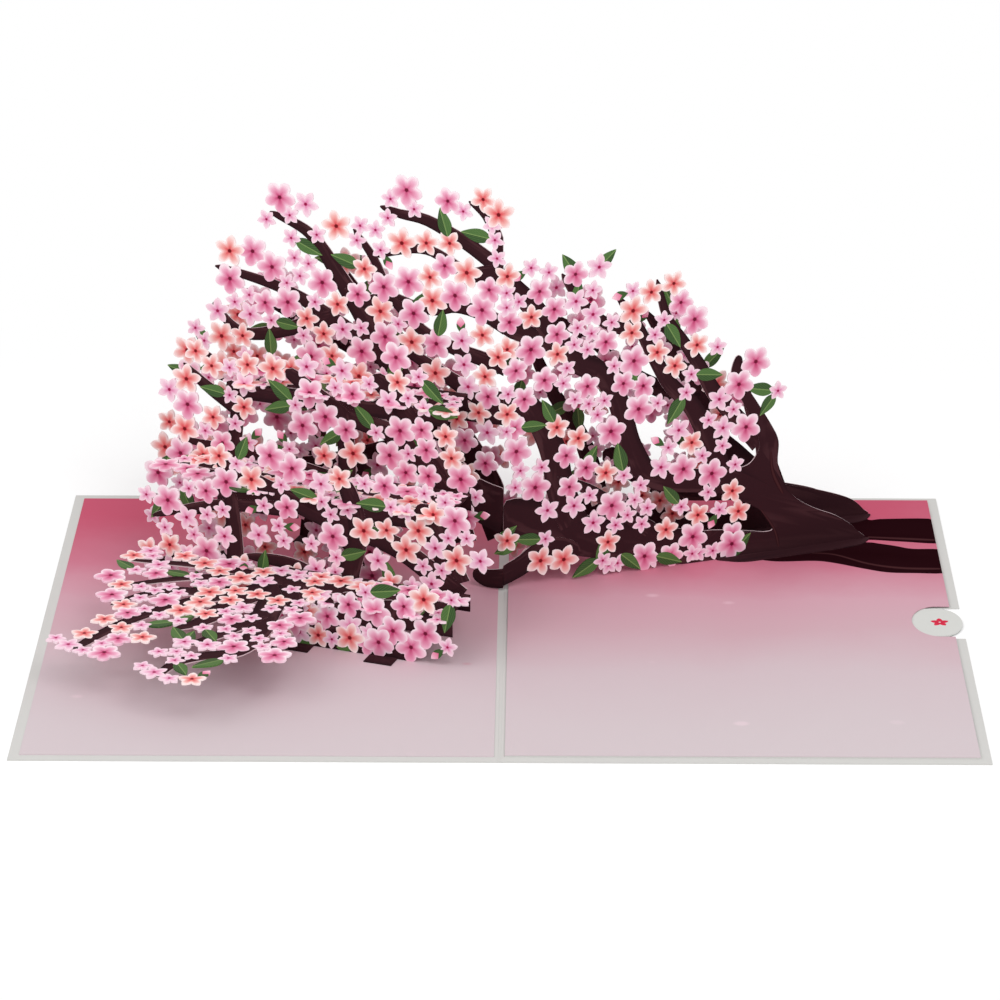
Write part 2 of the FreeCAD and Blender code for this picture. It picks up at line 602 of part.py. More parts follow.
def checked(pieces):
    doc.recompute()
    for item in doc.Objects:
        if "Invalid" in item.State or "Error" in item.State:
            raise RuntimeError("failed to build: " + item.Label)
    for piece in pieces:
        shape = piece.Shape
        if shape.isNull() or not shape.isValid() or len(shape.Solids) != 1:
            raise RuntimeError("not one sound solid: " + piece.Label)
    return pieces


pieces = [make_cover(), make_left_liner(), make_right_liner()]
pieces += make_pocket_strips()
pieces.append(make_note_card())
pieces += make_tree()
checked(pieces)
os.makedirs("parts", exist_ok=True)
for piece in pieces:
    piece.Shape.exportStep("parts/%s.step" % piece.Label)
    print(piece.Label, len(piece.Shape.Faces), "faces", round(piece.Shape.Volume, 1), "mm3")
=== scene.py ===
import random
from math import atan2, copysign, cos, hypot, pi, radians, sin, sqrt, tan

import bmesh
import bpy
from bpy.props import FloatProperty, FloatVectorProperty, IntProperty, PointerProperty
from mathutils import Matrix, Vector


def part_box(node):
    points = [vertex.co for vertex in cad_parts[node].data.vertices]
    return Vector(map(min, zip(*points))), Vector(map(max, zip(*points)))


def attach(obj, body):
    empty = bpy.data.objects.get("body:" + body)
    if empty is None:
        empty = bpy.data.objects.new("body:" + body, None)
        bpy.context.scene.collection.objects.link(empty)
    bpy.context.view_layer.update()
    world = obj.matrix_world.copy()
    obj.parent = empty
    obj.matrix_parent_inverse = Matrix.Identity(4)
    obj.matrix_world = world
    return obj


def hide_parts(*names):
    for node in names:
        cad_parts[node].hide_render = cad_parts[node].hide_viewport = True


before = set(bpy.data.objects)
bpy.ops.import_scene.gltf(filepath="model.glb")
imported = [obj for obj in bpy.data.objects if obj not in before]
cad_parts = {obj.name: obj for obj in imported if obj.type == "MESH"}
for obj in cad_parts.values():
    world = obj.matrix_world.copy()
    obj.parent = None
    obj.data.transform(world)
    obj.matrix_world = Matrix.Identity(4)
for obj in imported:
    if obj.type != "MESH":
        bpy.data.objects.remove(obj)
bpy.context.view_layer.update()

bl_info = {
    "name": "Blossom Pop Up Card",
    "version": (1, 0, 0),
    "blender": (4, 5, 0),
    "location": "View3D > Sidebar > Paper Card",
    "description": "Dresses the cut sheets of an open pop up card with printed bark, blossoms and leaves",
    "category": "Add Mesh",
}

MM = 0.001
# Heights, an edge and the card's thickness, read from the solids.
LEFT_PAGE_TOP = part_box("left_liner")[1][2]
RIGHT_PAGE_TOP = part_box("right_liner")[1][2]
LINER_EDGE_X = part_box("right_liner")[1][0]
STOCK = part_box("low_spray")[1][2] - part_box("low_spray")[0][2]
LOW_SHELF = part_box("low_spray")[0][2]
MIDDLE_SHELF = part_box("middle_spray")[0][2]
UPPER_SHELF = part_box("upper_spray")[0][2]

# How far each standing sheet leans back, and where the sheets meet the spine, from the front.
LEAN = radians(20.0)
MAIN_APEX = 19.8 * MM
BACK_APEX = 37.0 * MM
RISER_APEX = (-36.5 * MM, -16.5 * MM, 3.5 * MM)
# Within this length of the spine the front riser's blossoms stand up past its crease.
FRONT_STAND = 50.0 * MM
RISER_CLEARANCE = 0.7 * MM
# Where the shelves begin and end along their risers, and the depth of the glued bands and feet.
SHELF_START = 16.0 * MM
SHELF_ENDS = (70.0 * MM, 84.0 * MM, 82.0 * MM)
SHELF_OVERHANG = 3.0 * MM
SHELF_BAND = 4.5 * MM
FOOT_DEPTH = 5.0 * MM
FOOT_START = 3.0
# Longer than any sheet, so it stands for no limit.
FAR = 0.4

# How blossoms are strewn: radii as shares of the largest, tries per millimetre of limb, the share of a
# limb's half width where they start, and how near a neighbour they may be and must be to hold.
SHARES = (1.0, 1.0, 0.83, 0.83, 0.83, 0.62, 0.62)
TRIES_PER_UNIT = 5.0
BARE_CORE = 0.6
CLOSEST = 0.74
FURTHEST = 0.94
HOLD = 0.6
LEAF_CHANCE = 0.11
BUD_SHARE = 0.35

# How much thicker than the stock each layer is, so that no two faces meet.
BLOSSOM_RELIEF = 0.12 * MM
LEVELS = 14
LEVEL_STEP = 0.014 * MM
LIMB_STEP = 0.006 * MM
TRUNK_RELIEF = 0.1 * MM
LIGHT_RELIEF = 0.11 * MM
PLATE_SHARE = 0.98
INK_FILM = 0.03 * MM
ROOT_STEP = 0.004 * MM
ROOT_LIGHT_STEP = 0.012 * MM

# Limbs thinner than this, in millimetres, run out to a point over several widths; others end round.
THIN_END = 3.5
TWIG_TAPER = 4.0
TIP_ROUND = 0.98

# How finely rims and limbs are cut, and the millimetres that a length or width of print covers.
PETALS = 5
RIM_POINTS = 40
OUTLINE_STEPS = 5
LIMB_STEPS = 12
LIMB_STEP_LENGTH = 2.0
PRINT_LENGTH = 12.0
PRINT_WIDTH = 17.0

# Seeds of the first layouts; the next ones count on from them.
MAIN_SEED, BACK_SEED, RISER_SEED, SPRAY_SEED, SHELF_SEED = 11, 13, 21, 31, 41

# Material slots of the bark pieces and of the blossom pieces.
PRINT, EDGE, LIGHT = range(3)
PINK, CORAL, SMALL, LEAF, BUD = range(5)

# Prints of large and middling blossoms, and the shares of the largest radius that part them.
LARGE_KINDS = (PINK, PINK, CORAL)
MIDDLE_KINDS = (PINK, CORAL, CORAL, SMALL)
LARGE_SHARE = 0.9
SMALL_SHARE = 0.7

# Limbs of each sheet: start width, end width, bare length, then the middle line, in millimetres.
MAIN_RIGHT = [
    (8.5, 2, 42, (88, 0), (84.5, 12), (79.6, 27), (77.5, 36), (73.5, 46), (70, 60)),
    (15, 6, 40, (85, 5.5), (94, 4), (104, 1)),
    (9, 14, 14, (84, 0.5), (72, 3), (56, 5), (41, 9), (29, 11.5), (20, 14.5), (12, 18.5), (-2, 24)),
    (7.6, 5, 6, (76, 22), (62, 24.6), (45, 28), (38, 38), (34, 52), (28, 62), (17, 70.5), (-1, 79)),
    (9, 6, 8, (21, 17), (17, 28), (15.2, 38), (12.3, 46), (7.5, 54), (-1, 57)),
    (7, 2, 12, (66, 25), (61, 38), (56, 48), (49, 56), (43, 67), (39, 75), (33, 84)),
    (6, 2, 5, (77, 34), (71, 41), (63, 51), (58, 60), (53, 68), (48, 76), (45, 87)),
    (6.5, 5.5, 6, (28, 62), (21, 66), (15, 74), (8, 84), (2, 90.5), (-1, 95)),
    (4, 2, 5, (40, 72), (30, 76), (22, 84), (17, 92)),
    (5, 2.5, 4, (44, 12), (34, 20), (26, 26.5), (16, 32)),
    (6, 6, 40, (-1, 4), (5, 6.4), (11.5, 10.6), (17, 10.5), (23, 8)),
]
TRUNK = [
    (69, 61), (71, 60.5), (71.5, 54), (76, 46.5), (80.5, 39), (82.7, 34), (82.6, 28), (83.5, 23.5),
    (84.8, 20.5), (87.3, 16.9), (91.2, 13.7), (95.5, 11.2), (101, 8.6), (105.4, 5.5), (108.4, 2.5),
    (110, 0), (97, 0), (82, 0), (66, 0), (61, 2.5), (60, 8.8), (65.4, 9), (70.6, 7.8), (76.5, 6.8),
    (81, 6.6), (81.6, 8.4), (79.5, 10.8), (77.1, 13.8), (71.3, 17.3), (65.6, 20.2), (60, 21),
    (60, 28.6), (66, 28.2), (71, 27.4), (74.3, 28.5), (76.6, 31.9), (76.7, 35), (74.5, 41.4), (70.5, 49),
    (67.7, 55.5),
]
MAIN_LEFT = [
    (14, 2, 16, (-1, 24), (7, 26.5), (14, 31), (21, 42), (31, 60), (39, 73), (48, 87), (57, 99), (69, 104)),
    (5.5, 2, 4, (-1, 95), (2, 96.5), (11, 102), (22, 107), (30, 108), (36, 109.5)),
    (6, 2, 4, (31, 63), (51, 75), (66, 82), (86, 86)),
    (5, 2, 4, (51, 75), (76, 67), (87, 75)),
    (4, 1.5, 2, (70, 51), (84, 53), (90, 54)),
    (6, 2, 4, (24, 54), (46, 54), (73, 52), (95, 62)),
    (8, 2, 6, (10, 30), (25, 40), (61, 30), (106, 28)),
    (5, 1.5, 9, (-1, 96), (1.5, 104), (5, 110.5), (10, 114)),
    (5, 2, 4, (-1, 94.5), (4.5, 94), (10, 92.8), (15.6, 95.8), (21.4, 98.4), (28, 98), (38, 94.5)),
    (5, 2, 4, (-1, 79), (6, 82), (14, 83), (22, 81), (34, 85)),
    (5, 2, 3, (-1, 67), (7, 69), (15, 71), (24, 75), (33, 84), (38, 94), (44, 102)),
    (4, 3.5, 2, (33, 84), (41, 81), (47, 84)),
    (6, 5, 8, (45, 0), (43, 20), (42, 36)),
    (5, 4, 8, (85, 0), (84, 18), (83, 30)),
    (6, 3, 4, (-1, 57), (7, 57.5), (15, 61.4), (24, 66), (36, 72)),
    (6, 3, 4, (-1, 53), (13, 52.5), (20, 55), (28, 59)),
    (6, 5, 40, (-1, 4), (4.5, 3.2), (9, 4.5)),
]
BACK_RIGHT = [
    (15, 2, 30, (84, 0), (80, 10), (70, 22), (62, 32), (58, 46), (50, 60), (42, 72)),
    (17, 6, 40, (80, 7), (94, 5), (105, 1)),
    (8, 13, 30, (82, 4), (66, 2.5), (50, 5), (30, 12), (-1, 12)),
    (9, 6, 26, (80, 14), (66, 15), (52, 17), (42, 22), (30, 31)),
    (6, 2, 4, (58, 42), (40, 52), (25, 66), (10, 76)),
    (6, 3, 6, (30, 12), (24, 34), (14, 52), (8, 66)),
]
ROOT = [
    (80, 15.2), (85.7, 13.2), (93.3, 11.1), (102.1, 8), (107.7, 5.3), (111.2, 1.9), (112, 0), (98, 0),
    (84, 0), (74, 0), (74, 9),
]
BACK_LEFT = [
    (13, 2, 20, (-1, 10), (10, 32), (24, 52), (40, 72), (52, 88)),
    (6, 2, 4, (24, 52), (50, 62), (78, 74)),
    (6, 2, 4, (12, 36), (45, 40), (84, 46)),
    (6, 5, 8, (60, 0), (58, 20), (56, 42)),
]
RISER_1 = [
    (4, 4, 0, (14, 11), (70, 11)),
    (8, 6, 3, (34, 0), (35, 8), (31, 17)),
    (11, 7, 3, (60, 0), (56, 8), (49, 15)),
    (9, 7, 6, (26, 3), (45, 3.5), (66, 3)),
    (6, 4, 4, (35, 8), (42, 13), (46, 17)),
]
RISER_2 = [
    (4, 4, 0, (16, 33), (84, 33)),
    (5, 1.5, 3, (80, 10), (94, 12), (106, 7)),
    (8, 6, 4, (13, 16), (17, 25), (21, 33), (24, 38)),
    (7, 5, 4, (12, 12), (30, 24), (52, 30), (84, 42)),
    (7, 5, 4, (46, 0), (45, 14), (42, 28), (46, 42)),
    (5, 1.5, 3, (60, 31), (84, 29), (104, 23)),
    (6, 4, 4, (80, 0), (79, 16), (80, 34)),
    (5, 3, 3, (46, 6), (60, 14), (76, 15)),
]
RISER_3 = [
    (4, 4, 0, (16, 56), (82, 56)),
    (5, 1.5, 3, (81, 22), (95, 18), (107, 21)),
    (9, 5, 4, (12, 20), (15, 30), (21, 43), (30, 58), (38, 66)),
    (7, 4, 4, (14, 30), (30, 48), (46, 53), (64, 64)),
    (6, 5, 5, (50, 0), (48, 20), (46, 40), (48, 56)),
    (6, 1.5, 4, (46, 32), (70, 37), (97, 39)),
    (5, 4, 4, (82, 0), (81, 20), (80, 40), (78, 56)),
    (5, 2, 4, (78, 50), (88, 56), (95, 62)),
]
LOW_SPRAY = [
    (8, 3, 3, (-18, -20), (-40, -12), (-58, -7), (-72, -14), (-84, -19), (-97, -29), (-107, -41),
     (-113, -51)),
    (12, 3, 4, (-58, -6), (-67, -13), (-74, -22), (-80, -32), (-88, -38)),
    (9, 2.5, 3, (-60, -8), (-63, -24), (-65, -40), (-70, -52), (-79, -55), (-86, -60), (-89.5, -68)),
    (6, 2, 3, (-65, -28), (-75, -41), (-84, -48)),
    (6, 1.5, 3, (-74, -16), (-88, -12), (-98, -15), (-106, -22)),
    (6, 1.5, 3, (-60, -5), (-84, -3), (-107, -10)),
    (6, 1.5, 3, (-60, -5), (-80, 4), (-104, 9)),
    (7, 2, 3, (-58, -8), (-56, -22), (-54, -32)),
]
MIDDLE_SPRAY = [
    (7, 2, 2, (-20, 1), (-46, 11), (-74, 22), (-93, 30)),
    (5, 1.5, 2, (-58, 17), (-74, 19), (-88, 24)),
]
UPPER_SPRAY = [
    (7, 2, 2, (-18, 16), (-40, 26), (-60, 34), (-74, 38)),
    (5, 1.5, 2, (-46, 26), (-58, 28), (-68, 32)),
]
ROOT_PRINTS = (
    [(84, 69), (98, 72), (104, 73), (106.5, 71), (110.8, 71.9), (126, 71.6), (126.5, 63), (126, 54.3),
     (113.9, 55.2), (103.7, 56.3), (90, 54), (84, 60)],
    [(72, 43), (77.5, 40.4), (88.4, 40.9), (94.2, 39.4), (101.8, 35.7), (108.5, 33), (115.8, 32.5),
     (126, 33), (126.5, 41), (126, 49.1), (117.1, 49.9), (112.2, 52), (108, 53.5), (103.7, 54.5), (92, 53),
     (78, 48)],
)
# Glued feet of the trunk and the root, drawn along the sheet and forward of it.
TRUNK_FOOT = [(65, 0), (67, -2.6), (71.5, -4.6), (78, -5), (95, -5), (106, -4.5), (110, -2.5), (110.5, 0),
              (95, 0.1), (80, 0.1)]
ROOT_FOOT = [(74, 0), (76, -4), (82, -5), (100, -5), (108, -4.8), (111.5, -3), (112, 0), (95, 0.1)]
# Printed lights along the trunk and the roots: start width, end width, bare length, middle line.
TRUNK_LIGHTS = [
    (0.5, 1.1, 0, (77.9, 13.4), (82, 7), (83.6, 1.2)),
    (0.6, 1.6, 0, (80.4, 31), (81.2, 24.5), (84.5, 17.5)),
]
ROOT_LIGHTS = [
    (0.5, 2.2, 0, (87.2, 46.6), (94.6, 45.4), (103.9, 38.9), (113.6, 35.9), (125, 35.6)),
    (1.2, 2.2, 0, (104.9, 58.3), (114.1, 57.3), (125, 56.2)),
]

# Blossom prints: eye, throat, flush, blush, rim and vein, each 0 to 255.
PINK_INKS = ((108, 16, 48), (190, 60, 108), (217, 118, 154), (233, 168, 193), (248, 227, 235),
             (172, 50, 98))
CORAL_INKS = ((112, 14, 22), (216, 66, 78), (228, 116, 116), (239, 172, 168), (251, 233, 231),
              (196, 50, 60))
SMALL_INKS = ((150, 12, 66), (218, 112, 158), (227, 151, 185), (236, 186, 208), (246, 220, 230),
              (206, 96, 152))
TAB_INKS = ((236, 200, 204), (196, 30, 62), (200, 32, 64), (206, 36, 66), (212, 44, 74), (186, 24, 52))

# The small blossom on the pull tab.
TAB_MARK_INSET = 6.3 * MM
TAB_MARK_Y = -0.7 * MM
TAB_MARK_RADIUS = 2.6 * MM
TAB_MARK_TURN = radians(18)

# Softboxes around the card: name, place and power.
SOFTBOXES = (("key_softbox", (0.45, -0.9, 1.1), 7.5), ("fill_softbox", (-0.8, -0.5, 0.9), 4.0))
SOFTBOX_SIZE = 0.9
SOFTBOX_TARGET = Vector((0.0, 0.0, 0.04))
ROOM_LIGHT = 0.72
FLOOR_HALF = 4.0
VIEW_END = 20.0
WHITE = (1.0, 1.0, 1.0, 1.0)
UP = Vector((0.0, 0.0, 1.0))

# The photograph's camera, solved from the corners of the pages.
CAMERA_PLACE = Vector((10.455, -1097.4, 493.76)) * MM
CAMERA_PITCH = radians(22.623)
CAMERA_TURN = radians(0.583)
FOCAL_PIXELS = 4349.7
FRAME_PIXELS = 1000.0
SENSOR = 36.0


def ink(red, green, blue):
    """A printed colour, given as 0 to 255, as the linear colour that the shaders use."""
    out = []
    for part in (red, green, blue):
        share = part / 255.0
        out.append(share / 12.92 if share <= 0.04045 else ((share + 0.055) / 1.055) ** 2.4)
    return tuple(out) + (1.0,)


def length_choice(name, description, millimetres):
    """A length that can be changed before the pieces are made."""
    return FloatProperty(name=name, description=description, default=millimetres * MM, unit="LENGTH")


def ink_choice(name, description, *colour):
    """A printed colour that can be changed before the pieces are made."""
    return FloatVectorProperty(name=name, description=description, default=ink(*colour), size=4,
                               subtype="COLOR")


class PaperCardLooks(bpy.types.PropertyGroup):
    """Sizes and inks that can be changed before the pieces are made."""

    blossom_radius: length_choice("Blossom radius", "Largest blossom, middle to petal tip", 4.7)
    leaf_length: length_choice("Leaf length", "Leaf from stalk to tip", 8.4)
    bud_length: length_choice("Bud length", "Closed bud from stalk to tip", 4.8)
    spread: length_choice("Spread", "How far blossoms reach out from a limb", 9.0)
    tucked_leaves: FloatProperty(name="Tucked leaves", description="Share of blossoms with a leaf behind",
                                 default=0.07, min=0.0, max=1.0)
    seed: IntProperty(name="Seed", description="Seed that picks each blossom's print", default=500)
    card_ink: ink_choice("Card", "Bare card of the cover", 206, 205, 202)
    note_ink: ink_choice("Note", "Bare card of the note", 210, 211, 207)
    liner_back_ink: ink_choice("Liner, back", "Liner along the back edge", 194, 74, 104)
    liner_front_ink: ink_choice("Liner, front", "Liner along the front edge", 206, 193, 197)
    bark_ink: ink_choice("Bark", "Print of the limbs", 50, 22, 28)
    leaf_ink: ink_choice("Leaf", "Print of the leaves", 72, 108, 52)


def looks():
    return bpy.context.scene.paper_card_looks


# Materials.

class Recipe:
    """A material's node tree, with short calls for the nodes that the prints need."""

    def __init__(self, name, roughness, gloss=0.3):
        self.material = bpy.data.materials.new(name)
        self.material.use_nodes = True
        self.tree = self.material.node_tree
        self.shader = self.tree.nodes["Principled BSDF"]
        self.shader.inputs["Roughness"].default_value = roughness
        self.shader.inputs["Specular IOR Level"].default_value = gloss

    def feed(self, socket, value):
        if hasattr(value, "is_output"):
            self.tree.links.new(value, socket)
        else:
            socket.default_value = value

    def node(self, kind, *feeds, **settings):
        """A new node with its settings. The feeds go to its inputs in their order."""
        made = self.tree.nodes.new(kind)
        for key, value in settings.items():
            setattr(made, key, value)
        for socket, value in zip(made.inputs, feeds):
            self.feed(socket, value)
        return made

    def place(self):
        return self.node("ShaderNodeTexCoord").outputs["Object"]

    def print_map(self):
        return self.node("ShaderNodeUVMap", uv_map="print").outputs["UV"]

    def parts(self, vector):
        return self.node("ShaderNodeSeparateXYZ", vector).outputs

    def sum(self, operation, a, b=0.0):
        return self.node("ShaderNodeMath", a, b, operation=operation).outputs[0]

    def times(self, a, b):
        return self.sum("MULTIPLY", a, b)

    def plus(self, a, b):
        return self.sum("ADD", a, b)

    def less(self, a, b):
        return self.sum("SUBTRACT", a, b)

    def ease(self, value, low, high, start=0.0, end=1.0):
        """A smooth step from start to end while the value goes from low to high."""
        return self.node("ShaderNodeMapRange", value, low, high, start, end,
                         interpolation_type="SMOOTHSTEP").outputs["Result"]

    def stretch(self, vector, scale):
        made = self.node("ShaderNodeMapping", vector)
        made.inputs["Scale"].default_value = scale
        return made.outputs[0]

    def noise(self, vector, scale, detail, roughness=0.5):
        made = self.node("ShaderNodeTexNoise", vector)
        for name, value in (("Scale", scale), ("Detail", detail), ("Roughness", roughness)):
            made.inputs[name].default_value = value
        return made.outputs["Fac"]

    def ramp(self, value, stops):
        made = self.node("ShaderNodeValToRGB", value)
        elements = made.color_ramp.elements
        elements[0].position, elements[0].color = stops[0]
        elements[1].position, elements[1].color = stops[-1]
        for position, colour in stops[1:-1]:
            elements.new(position).color = colour
        return made.outputs["Color"]

    def mix(self, share, a, b):
        made = self.node("ShaderNodeMix", share, data_type="RGBA")
        # Of the node's many sockets, these are for two colours and their mix.
        self.feed(made.inputs[6], a)
        self.feed(made.inputs[7], b)
        return made.outputs[2]

    def colour(self, value):
        self.feed(self.shader.inputs["Base Color"], value)

    def paper_grain(self, strength=0.12):
        """The fine tooth of matt card, as bump."""
        fibres = self.noise(self.place(), 1400.0, 4.0, 0.65)
        bump = self.node("ShaderNodeBump", strength, 0.15 * MM)
        self.feed(bump.inputs["Height"], fibres)
        self.feed(self.shader.inputs["Normal"], bump.outputs[0])


def bare_card(name, tint):
    """Plain card, faintly clouded, with a few darker flecks."""
    recipe = Recipe(name, 0.75)
    cloud = recipe.noise(recipe.place(), 60.0, 5.0, 0.6)
    flecks = recipe.ease(recipe.noise(recipe.place(), 900.0, 2.0), 0.62, 0.72, 0.0, 0.05)
    tone = recipe.mix(cloud, tint, tuple(c * 0.955 for c in tint[:3]) + (1.0,))
    recipe.colour(recipe.mix(flecks, tone, ink(190, 188, 184)))
    recipe.paper_grain(0.18)
    return recipe.material


def liner_print():
    """Watercolour wash, deep rose at the back and pale at the front, with scattered petal flecks."""
    recipe = Recipe("liner_wash", 0.62)
    place = recipe.place()
    depth = recipe.parts(place)["Y"]
    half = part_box("left_liner")[1][1]
    cloud = recipe.times(recipe.less(recipe.noise(place, 22.0, 5.0, 0.6), 0.5), 0.16)
    wash = recipe.ramp(recipe.plus(recipe.ease(depth, -half, half), cloud), [
        (0.0, looks().liner_front_ink), (0.22, ink(205, 186, 192)), (0.45, ink(203, 166, 176)),
        (0.62, ink(206, 158, 172)), (0.8, ink(199, 116, 138)), (1.0, looks().liner_back_ink),
    ])
    tiles = recipe.node("ShaderNodeTexVoronoi", recipe.stretch(place, (46.0, 70.0, 46.0)))
    tiles.inputs["Scale"].default_value = 1.0
    petal = recipe.ease(tiles.outputs["Distance"], 0.05, 0.13, 1.0, 0.0)
    pick = recipe.parts(tiles.outputs["Color"])
    pale = recipe.times(petal, recipe.ease(pick["X"], 0.78, 0.8, 0.0, 0.35))
    deep = recipe.times(petal, recipe.ease(pick["Y"], 0.955, 0.96, 0.0, 0.6))
    recipe.colour(recipe.mix(deep, recipe.mix(pale, wash, ink(240, 214, 224)), ink(204, 96, 126)))
    recipe.paper_grain(0.1)
    return recipe.material


def bark_print(name):
    """Dark maroon bark with brushed lights along each limb."""
    recipe = Recipe(name, 0.85, 0.12)
    uv = recipe.print_map()
    across = recipe.parts(uv)["Y"]
    streaks = recipe.noise(recipe.stretch(uv, (0.9, 3.2, 1.0)), 1.6, 2.0, 0.45)
    light = recipe.times(recipe.ease(across, 0.4, 0.85), recipe.ease(streaks, 0.46, 0.62, 0.0, 0.7))
    dark = recipe.ease(across, 0.3, 0.05, 0.0, 0.8)
    tone = recipe.mix(dark, looks().bark_ink, ink(36, 14, 20))
    recipe.colour(recipe.mix(light, tone, ink(76, 44, 48)))
    recipe.paper_grain()
    return recipe.material


def root_ink(name):
    """The darker print of the roots that lie on the page."""
    recipe = Recipe(name, 0.95, 0.0)
    cloud = recipe.noise(recipe.stretch(recipe.place(), (30.0, 120.0, 30.0)), 1.0, 2.0)
    recipe.colour(recipe.mix(cloud, ink(30, 7, 11), ink(38, 13, 18)))
    return recipe.material


def bark_light(name):
    """Brushed light along a ridge of the bark, fading to its sides."""
    recipe = Recipe(name, 0.9, 0.0)
    across = recipe.parts(recipe.print_map())["Y"]
    middle = recipe.ease(recipe.sum("ABSOLUTE", recipe.less(across, 0.5)), 0.5, 0.1)
    recipe.colour(recipe.mix(middle, ink(44, 18, 24), ink(68, 38, 40)))
    return recipe.material


def cut_edge(name):
    """The pale fibre of the card where a limb is cut out."""
    recipe = Recipe(name, 0.8)
    fibre = recipe.noise(recipe.place(), 2600.0, 2.0)
    recipe.colour(recipe.mix(fibre, ink(222, 198, 202), ink(186, 158, 164)))
    return recipe.material


def petal_print(name, inks, valley, reach, shade=0.0):
    """Five petals drawn from the blossom's own map. inks are eye, throat, flush, blush, rim and vein.
    valley is how deep the outline dips between petals, reach how far the colour runs out from the
    throat, and shade how much deeper the petals on the map's right are."""
    eye, throat, flush, blush, rim, line = [ink(*colour) for colour in inks]
    recipe = Recipe(name, 0.7, 0.15)
    uv = recipe.parts(recipe.print_map())
    x = recipe.less(recipe.times(uv["X"], 2.0), 1.0)
    y = recipe.less(recipe.times(uv["Y"], 2.0), 1.0)
    radius = recipe.sum("SQRT", recipe.plus(recipe.times(x, x), recipe.times(y, y)))
    turn = recipe.times(recipe.sum("ARCTAN2", y, x), PETALS / (2.0 * pi))
    phase = recipe.sum("ABSOLUTE", recipe.less(recipe.sum("FRACT", recipe.plus(turn, PETALS + 0.5)), 0.5))
    share = recipe.sum("DIVIDE", radius, recipe.ease(phase, 0.12, 0.5, 1.0, valley))
    wash = recipe.noise(recipe.place(), 260.0, 1.0)
    drift = recipe.times(recipe.less(wash, 0.5), 0.24)
    lower = recipe.ease(x, -0.15, 0.75, 0.0, -shade)
    depth = recipe.plus(recipe.plus(share, drift), lower)
    petals = recipe.ramp(depth, [(0.08, throat), (0.28, flush), (reach, blush), (0.92, rim), (1.0, rim)])
    crease = recipe.times(recipe.ease(phase, 0.4, 0.5), recipe.ease(radius, 0.62, 0.3, 0.0, 0.5))
    marked = recipe.mix(crease, petals, flush)
    vein = recipe.times(recipe.ease(phase, 0.05, 0.0), recipe.ease(radius, 0.55, 0.2, 0.0, 0.6))
    marked = recipe.mix(vein, marked, line)
    recipe.colour(recipe.mix(recipe.ease(radius, 0.16, 0.08), marked, eye))
    recipe.paper_grain(0.08)
    return recipe.material


def leaf_print(name):
    """A green leaf with a pale rib, slanting veins and one darker half."""
    recipe = Recipe(name, 0.55)
    uv = recipe.parts(recipe.print_map())
    off = recipe.less(uv["Y"], 0.5)
    aside = recipe.sum("ABSOLUTE", off)
    rib = recipe.ease(aside, 0.05, 0.015)
    slant = recipe.plus(recipe.times(uv["X"], 46.0), recipe.times(aside, -40.0))
    veins = recipe.times(recipe.ease(recipe.sum("SINE", slant), 0.8, 1.0), 0.35)
    sides = recipe.mix(recipe.ease(off, -0.02, 0.02), ink(48, 80, 36), looks().leaf_ink)
    recipe.colour(recipe.mix(recipe.sum("MAXIMUM", rib, veins), sides, ink(120, 148, 84)))
    recipe.paper_grain()
    return recipe.material


def bud_print(name):
    """A pink bud held in green sepals at its foot."""
    recipe = Recipe(name, 0.6)
    uv = recipe.parts(recipe.print_map())
    aside = recipe.sum("ABSOLUTE", recipe.less(uv["Y"], 0.5))
    cup = recipe.ease(recipe.less(uv["X"], recipe.times(aside, 0.5)), 0.36, 0.42)
    pink = recipe.ramp(uv["X"], [(0.35, ink(214, 84, 130)), (0.7, ink(240, 160, 186)),
                                 (1.0, ink(250, 214, 224))])
    recipe.colour(recipe.mix(cup, ink(56, 88, 40), pink))
    recipe.paper_grain()
    return recipe.material


def shared(name, maker, *recipe):
    """A material made once and used by several pieces."""
    return bpy.data.materials.get(name) or maker(name, *recipe)


def bark_slots():
    """The slots of every bark piece, in the order of PRINT, EDGE and LIGHT."""
    return [shared("bark_print", bark_print), shared("cut_edge", cut_edge),
            shared("bark_light", bark_light)]


def bloom_slots():
    """The slots of every blossom piece, in the order of PINK, CORAL, SMALL, LEAF and BUD."""
    return [
        shared("petal_pink", petal_print, PINK_INKS, 0.66, 0.6, 0.26),
        shared("petal_coral", petal_print, CORAL_INKS, 0.56, 0.58),
        shared("petal_small", petal_print, SMALL_INKS, 0.54, 0.5),
        shared("leaf_print", leaf_print),
        shared("bud_print", bud_print),
    ]


# Shapes cut from card.

class Sheet:
    """A flat sheet's own frame, in metres: u and v run in it, from low_u and from low_v to high_v.
    high_v holds only beyond step_u, and band only up to open_u; other_wing is across the fold."""

    def __init__(self, origin, u, v):
        self.matrix = Matrix.Translation(origin) @ Matrix((u, v, u.cross(v))).transposed().to_4x4()
        self.low_u = self.low_v = self.step_u = 0.0
        self.high_v = FAR
        self.open_u = -FAR
        self.band = self.other_wing = None


def standing(side, apex, page_top):
    """A wing that stands on the right (+1) or left (-1) page and leans back from the fold."""
    origin = Vector((0.0, apex, page_top))
    sheet = Sheet(origin, Vector((side * cos(LEAN), sin(LEAN), 0.0)), UP)
    sheet.other_wing = Sheet(origin, Vector((-side * cos(LEAN), sin(LEAN), 0.0)), UP).matrix
    return sheet


def along_and_behind(sheet):
    """Level directions along a standing sheet and straight back from it."""
    across = sheet.matrix.to_3x3().col[0].copy()
    behind = UP.cross(across)
    return across, behind if behind.y > 0 else -behind


def foot_of(sheet):
    """The page where a standing sheet is glued: u runs along the sheet and v away behind it."""
    foot = Sheet(sheet.matrix.translation + UP * (STOCK / 2), *along_and_behind(sheet))
    foot.low_v = -FAR
    return foot


